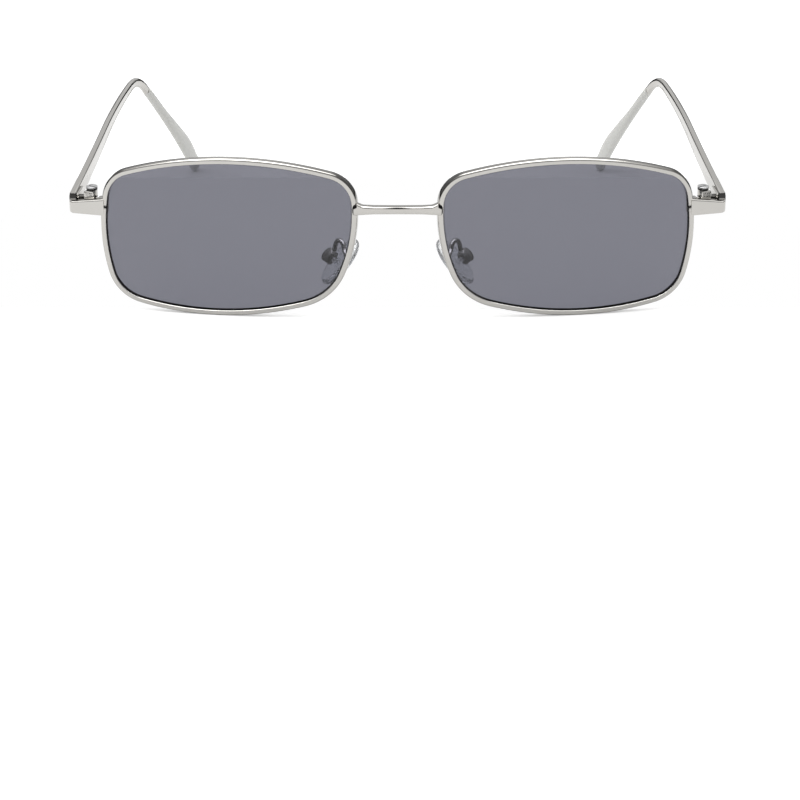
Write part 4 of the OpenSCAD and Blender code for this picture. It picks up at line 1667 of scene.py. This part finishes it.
CARDS = (
    Card("back_card", (-3, 1.2), (3, 1.2), 0.17, 0.85, 0.72),
    Card("low_back_card", (-0.6, 0.5), (0.6, 0.5), 0, 0.09, 0.01),
    Card("near_back_card", (-0.4, 0.3), (0.4, 0.3), 0, 0.035, 0.01),
    Card("low_left_card", (-0.6, -0.3), (-0.6, 0.6), 0, 0.13, 0.02),
    Card("left_shoulder_card", (-0.13, 0.49), (-0.4, 0.49), 0, 0.19, 0.3),
    Card("low_right_card", (0.6, -0.3), (0.6, 0.6), 0, 0.13, 0.02),
    Card("right_shoulder_card", (0.13, 0.49), (0.4, 0.49), 0, 0.19, 0.3),
    Card("front_card", (-3, -1.2), (3, -1.2), 0.1, 0.9, 0.35),
    Card("top_card", (-1.2, -0.8), (1.2, 0.7), 1.3, 1.3, 1.7),
    Card("glint_card", (-0.5, -0.4), (0.5, 0.3), 0.9, 0.9, 6.0),
)


def plain_material(name: str, colour: tuple[float, ...], glow: tuple[float, ...],
                   ) -> tuple[bpy.types.Material, bpy.types.Node]:
    """A surface of one colour without gloss that may glow.

    Args:
        name: Name of the material.
        colour: Its colour.
        glow: Colour of its own light at full strength.

    Returns:
        The material and its shader.
    """
    material = bpy.data.materials.new(name)
    material.use_nodes = True
    shader = material.node_tree.nodes["Principled BSDF"]
    for label, value in (("Base Color", colour), ("Specular IOR Level", 0.0),
                         ("Emission Color", glow), ("Emission Strength", 1.0)):
        shader.inputs[label].default_value = value
    return material, shader


@dataclass
class Studio:
    """White table, soft light from all round and the camera."""

    stance: Stance
    distance: float = 0.55
    elevation: float = 15.4
    anchor_rise: float = 1.7
    anchor_px: tuple[float, float] = (397.5, 235.0)
    focal_px: float = 2529.0
    image_px: float = 800.0
    sensor_mm: float = 36.0
    dome: float = 0.9
    floor_m: float = 8.0
    floor_glow: float = 0.3
    opening: tuple[float, float, float] = (0.1, -0.0588, 0.06)
    lamp_place: tuple[float, float, float] = (-0.35, -0.25, 0.7)
    lamp_width: float = 0.6
    lamp_watts: float = 2.2

    def camera(self) -> None:
        """Aims the camera so that the front stands where the photograph has it."""
        up = math.radians(self.elevation)
        anchor = Vector((0, -self.stance.back, self.stance.lift + self.anchor_rise)) * MM
        data = bpy.data.cameras.new("camera")
        data.sensor_width = self.sensor_mm
        data.lens = self.focal_px / self.image_px * self.sensor_mm
        data.clip_start = 0.02
        camera = bpy.data.objects.new("camera", data)
        camera.location = anchor + self.distance * Vector((0, -math.cos(up), math.sin(up)))
        half = self.image_px / 2
        pitch = up + math.atan((half - self.anchor_px[1]) / self.focal_px)
        yaw = math.atan((half - self.anchor_px[0]) / self.focal_px)
        camera.rotation_euler = (math.pi / 2 - pitch, 0, -yaw)
        bpy.context.scene.collection.objects.link(camera)
        bpy.context.scene.camera = camera

    def world(self) -> None:
        """A white surround: full strength where it is seen, softer as light."""
        world = bpy.data.worlds.new("surround")
        bpy.context.scene.world = world
        world.use_nodes = True
        nodes = Nodes(world.node_tree)
        back = world.node_tree.nodes["Background"]
        back.inputs["Color"].default_value = (1, 1, 1, 1)
        path = nodes.add("ShaderNodeLightPath")
        seen = path.outputs["Is Camera Ray"]
        for label in ("Is Glossy Ray", "Is Transmission Ray"):
            seen = nodes.math("MAXIMUM", seen, path.outputs[label])
        level = nodes.add("ShaderNodeMapRange", To_Min=self.dome, To_Max=1.0)
        nodes.link(seen, level.inputs["Value"])
        nodes.link(level.outputs["Result"], back.inputs["Strength"])

    def lamp(self) -> None:
        """Adds the square soft lamp, which faces the middle of the table."""
        data = bpy.data.lights.new("key_lamp", "AREA")
        data.shape = "SQUARE"
        data.size = self.lamp_width
        data.energy = self.lamp_watts
        lamp = bpy.data.objects.new("key_lamp", data)
        lamp.location = self.lamp_place
        lamp.rotation_euler = (-Vector(self.lamp_place)).to_track_quat("-Z", "Y").to_euler()
        bpy.context.scene.collection.objects.link(lamp)

    def floor(self) -> None:
        """The white table top, open behind the front where the folded tips hang lower."""
        half = self.floor_m / 2
        x, near, far = self.opening
        outer = [(-half, -half, 0), (half, -half, 0), (half, half, 0), (-half, half, 0)]
        inner = [(-x, near, 0), (x, near, 0), (x, far, 0), (-x, far, 0)]
        mesh = bpy.data.meshes.new("table_top")
        sides = [(k, (k + 1) % 4, (k + 1) % 4 + 4, k + 4) for k in range(4)]
        mesh.from_pydata(outer + inner, [], sides)
        material, shader = plain_material("white_table", (0.98, 0.98, 0.98, 1), (1, 1, 1, 1))
        shader.inputs["Roughness"].default_value = 0.9
        nodes = Nodes(material.node_tree)
        path = nodes.add("ShaderNodeLightPath")
        glow = nodes.math("MULTIPLY", path.outputs["Is Camera Ray"], self.floor_glow)
        nodes.link(glow, shader.inputs["Emission Strength"])
        mesh.materials.append(material)
        floor = bpy.data.objects.new("table_top", mesh)
        bpy.context.scene.collection.objects.link(floor)

    def build(self) -> None:
        """Sets the view, the light, the floor and the camera."""
        bpy.context.scene.view_settings.view_transform = "Standard"
        self.camera()
        self.world()
        self.floor()
        for card in CARDS:
            card.hang()
        self.lamp()


def main() -> None:
    """Builds every piece, the studio and the camera."""
    logging.basicConfig(level=logging.INFO, format="%(message)s")
    rims = RimAndLens()
    corner = Corner(rims)
    joint = next(j for j in frame["joints"] if j["name"] == "fold_right")
    stance = Stance.of_hinge(joint, corner.pivot)
    groups = fine_marks(), soft_mottle(), painted_shade()
    bench = Bench(stance, {slot: finish.build(*groups) for slot, finish in FINISHES.items()})
    Bridge(rims).build(bench)
    halves = (rims, corner, Temple(corner), NosePad(rims))
    for side in Side:
        for maker in halves:
            maker.build(bench, side)
    Studio(stance).build()
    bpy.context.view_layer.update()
    LOG.info("stance: %.3f degrees, %.3f mm up, %.3f mm back", math.degrees(stance.tilt),
             stance.lift, stance.back)


if __name__ == "__main__":
    main()
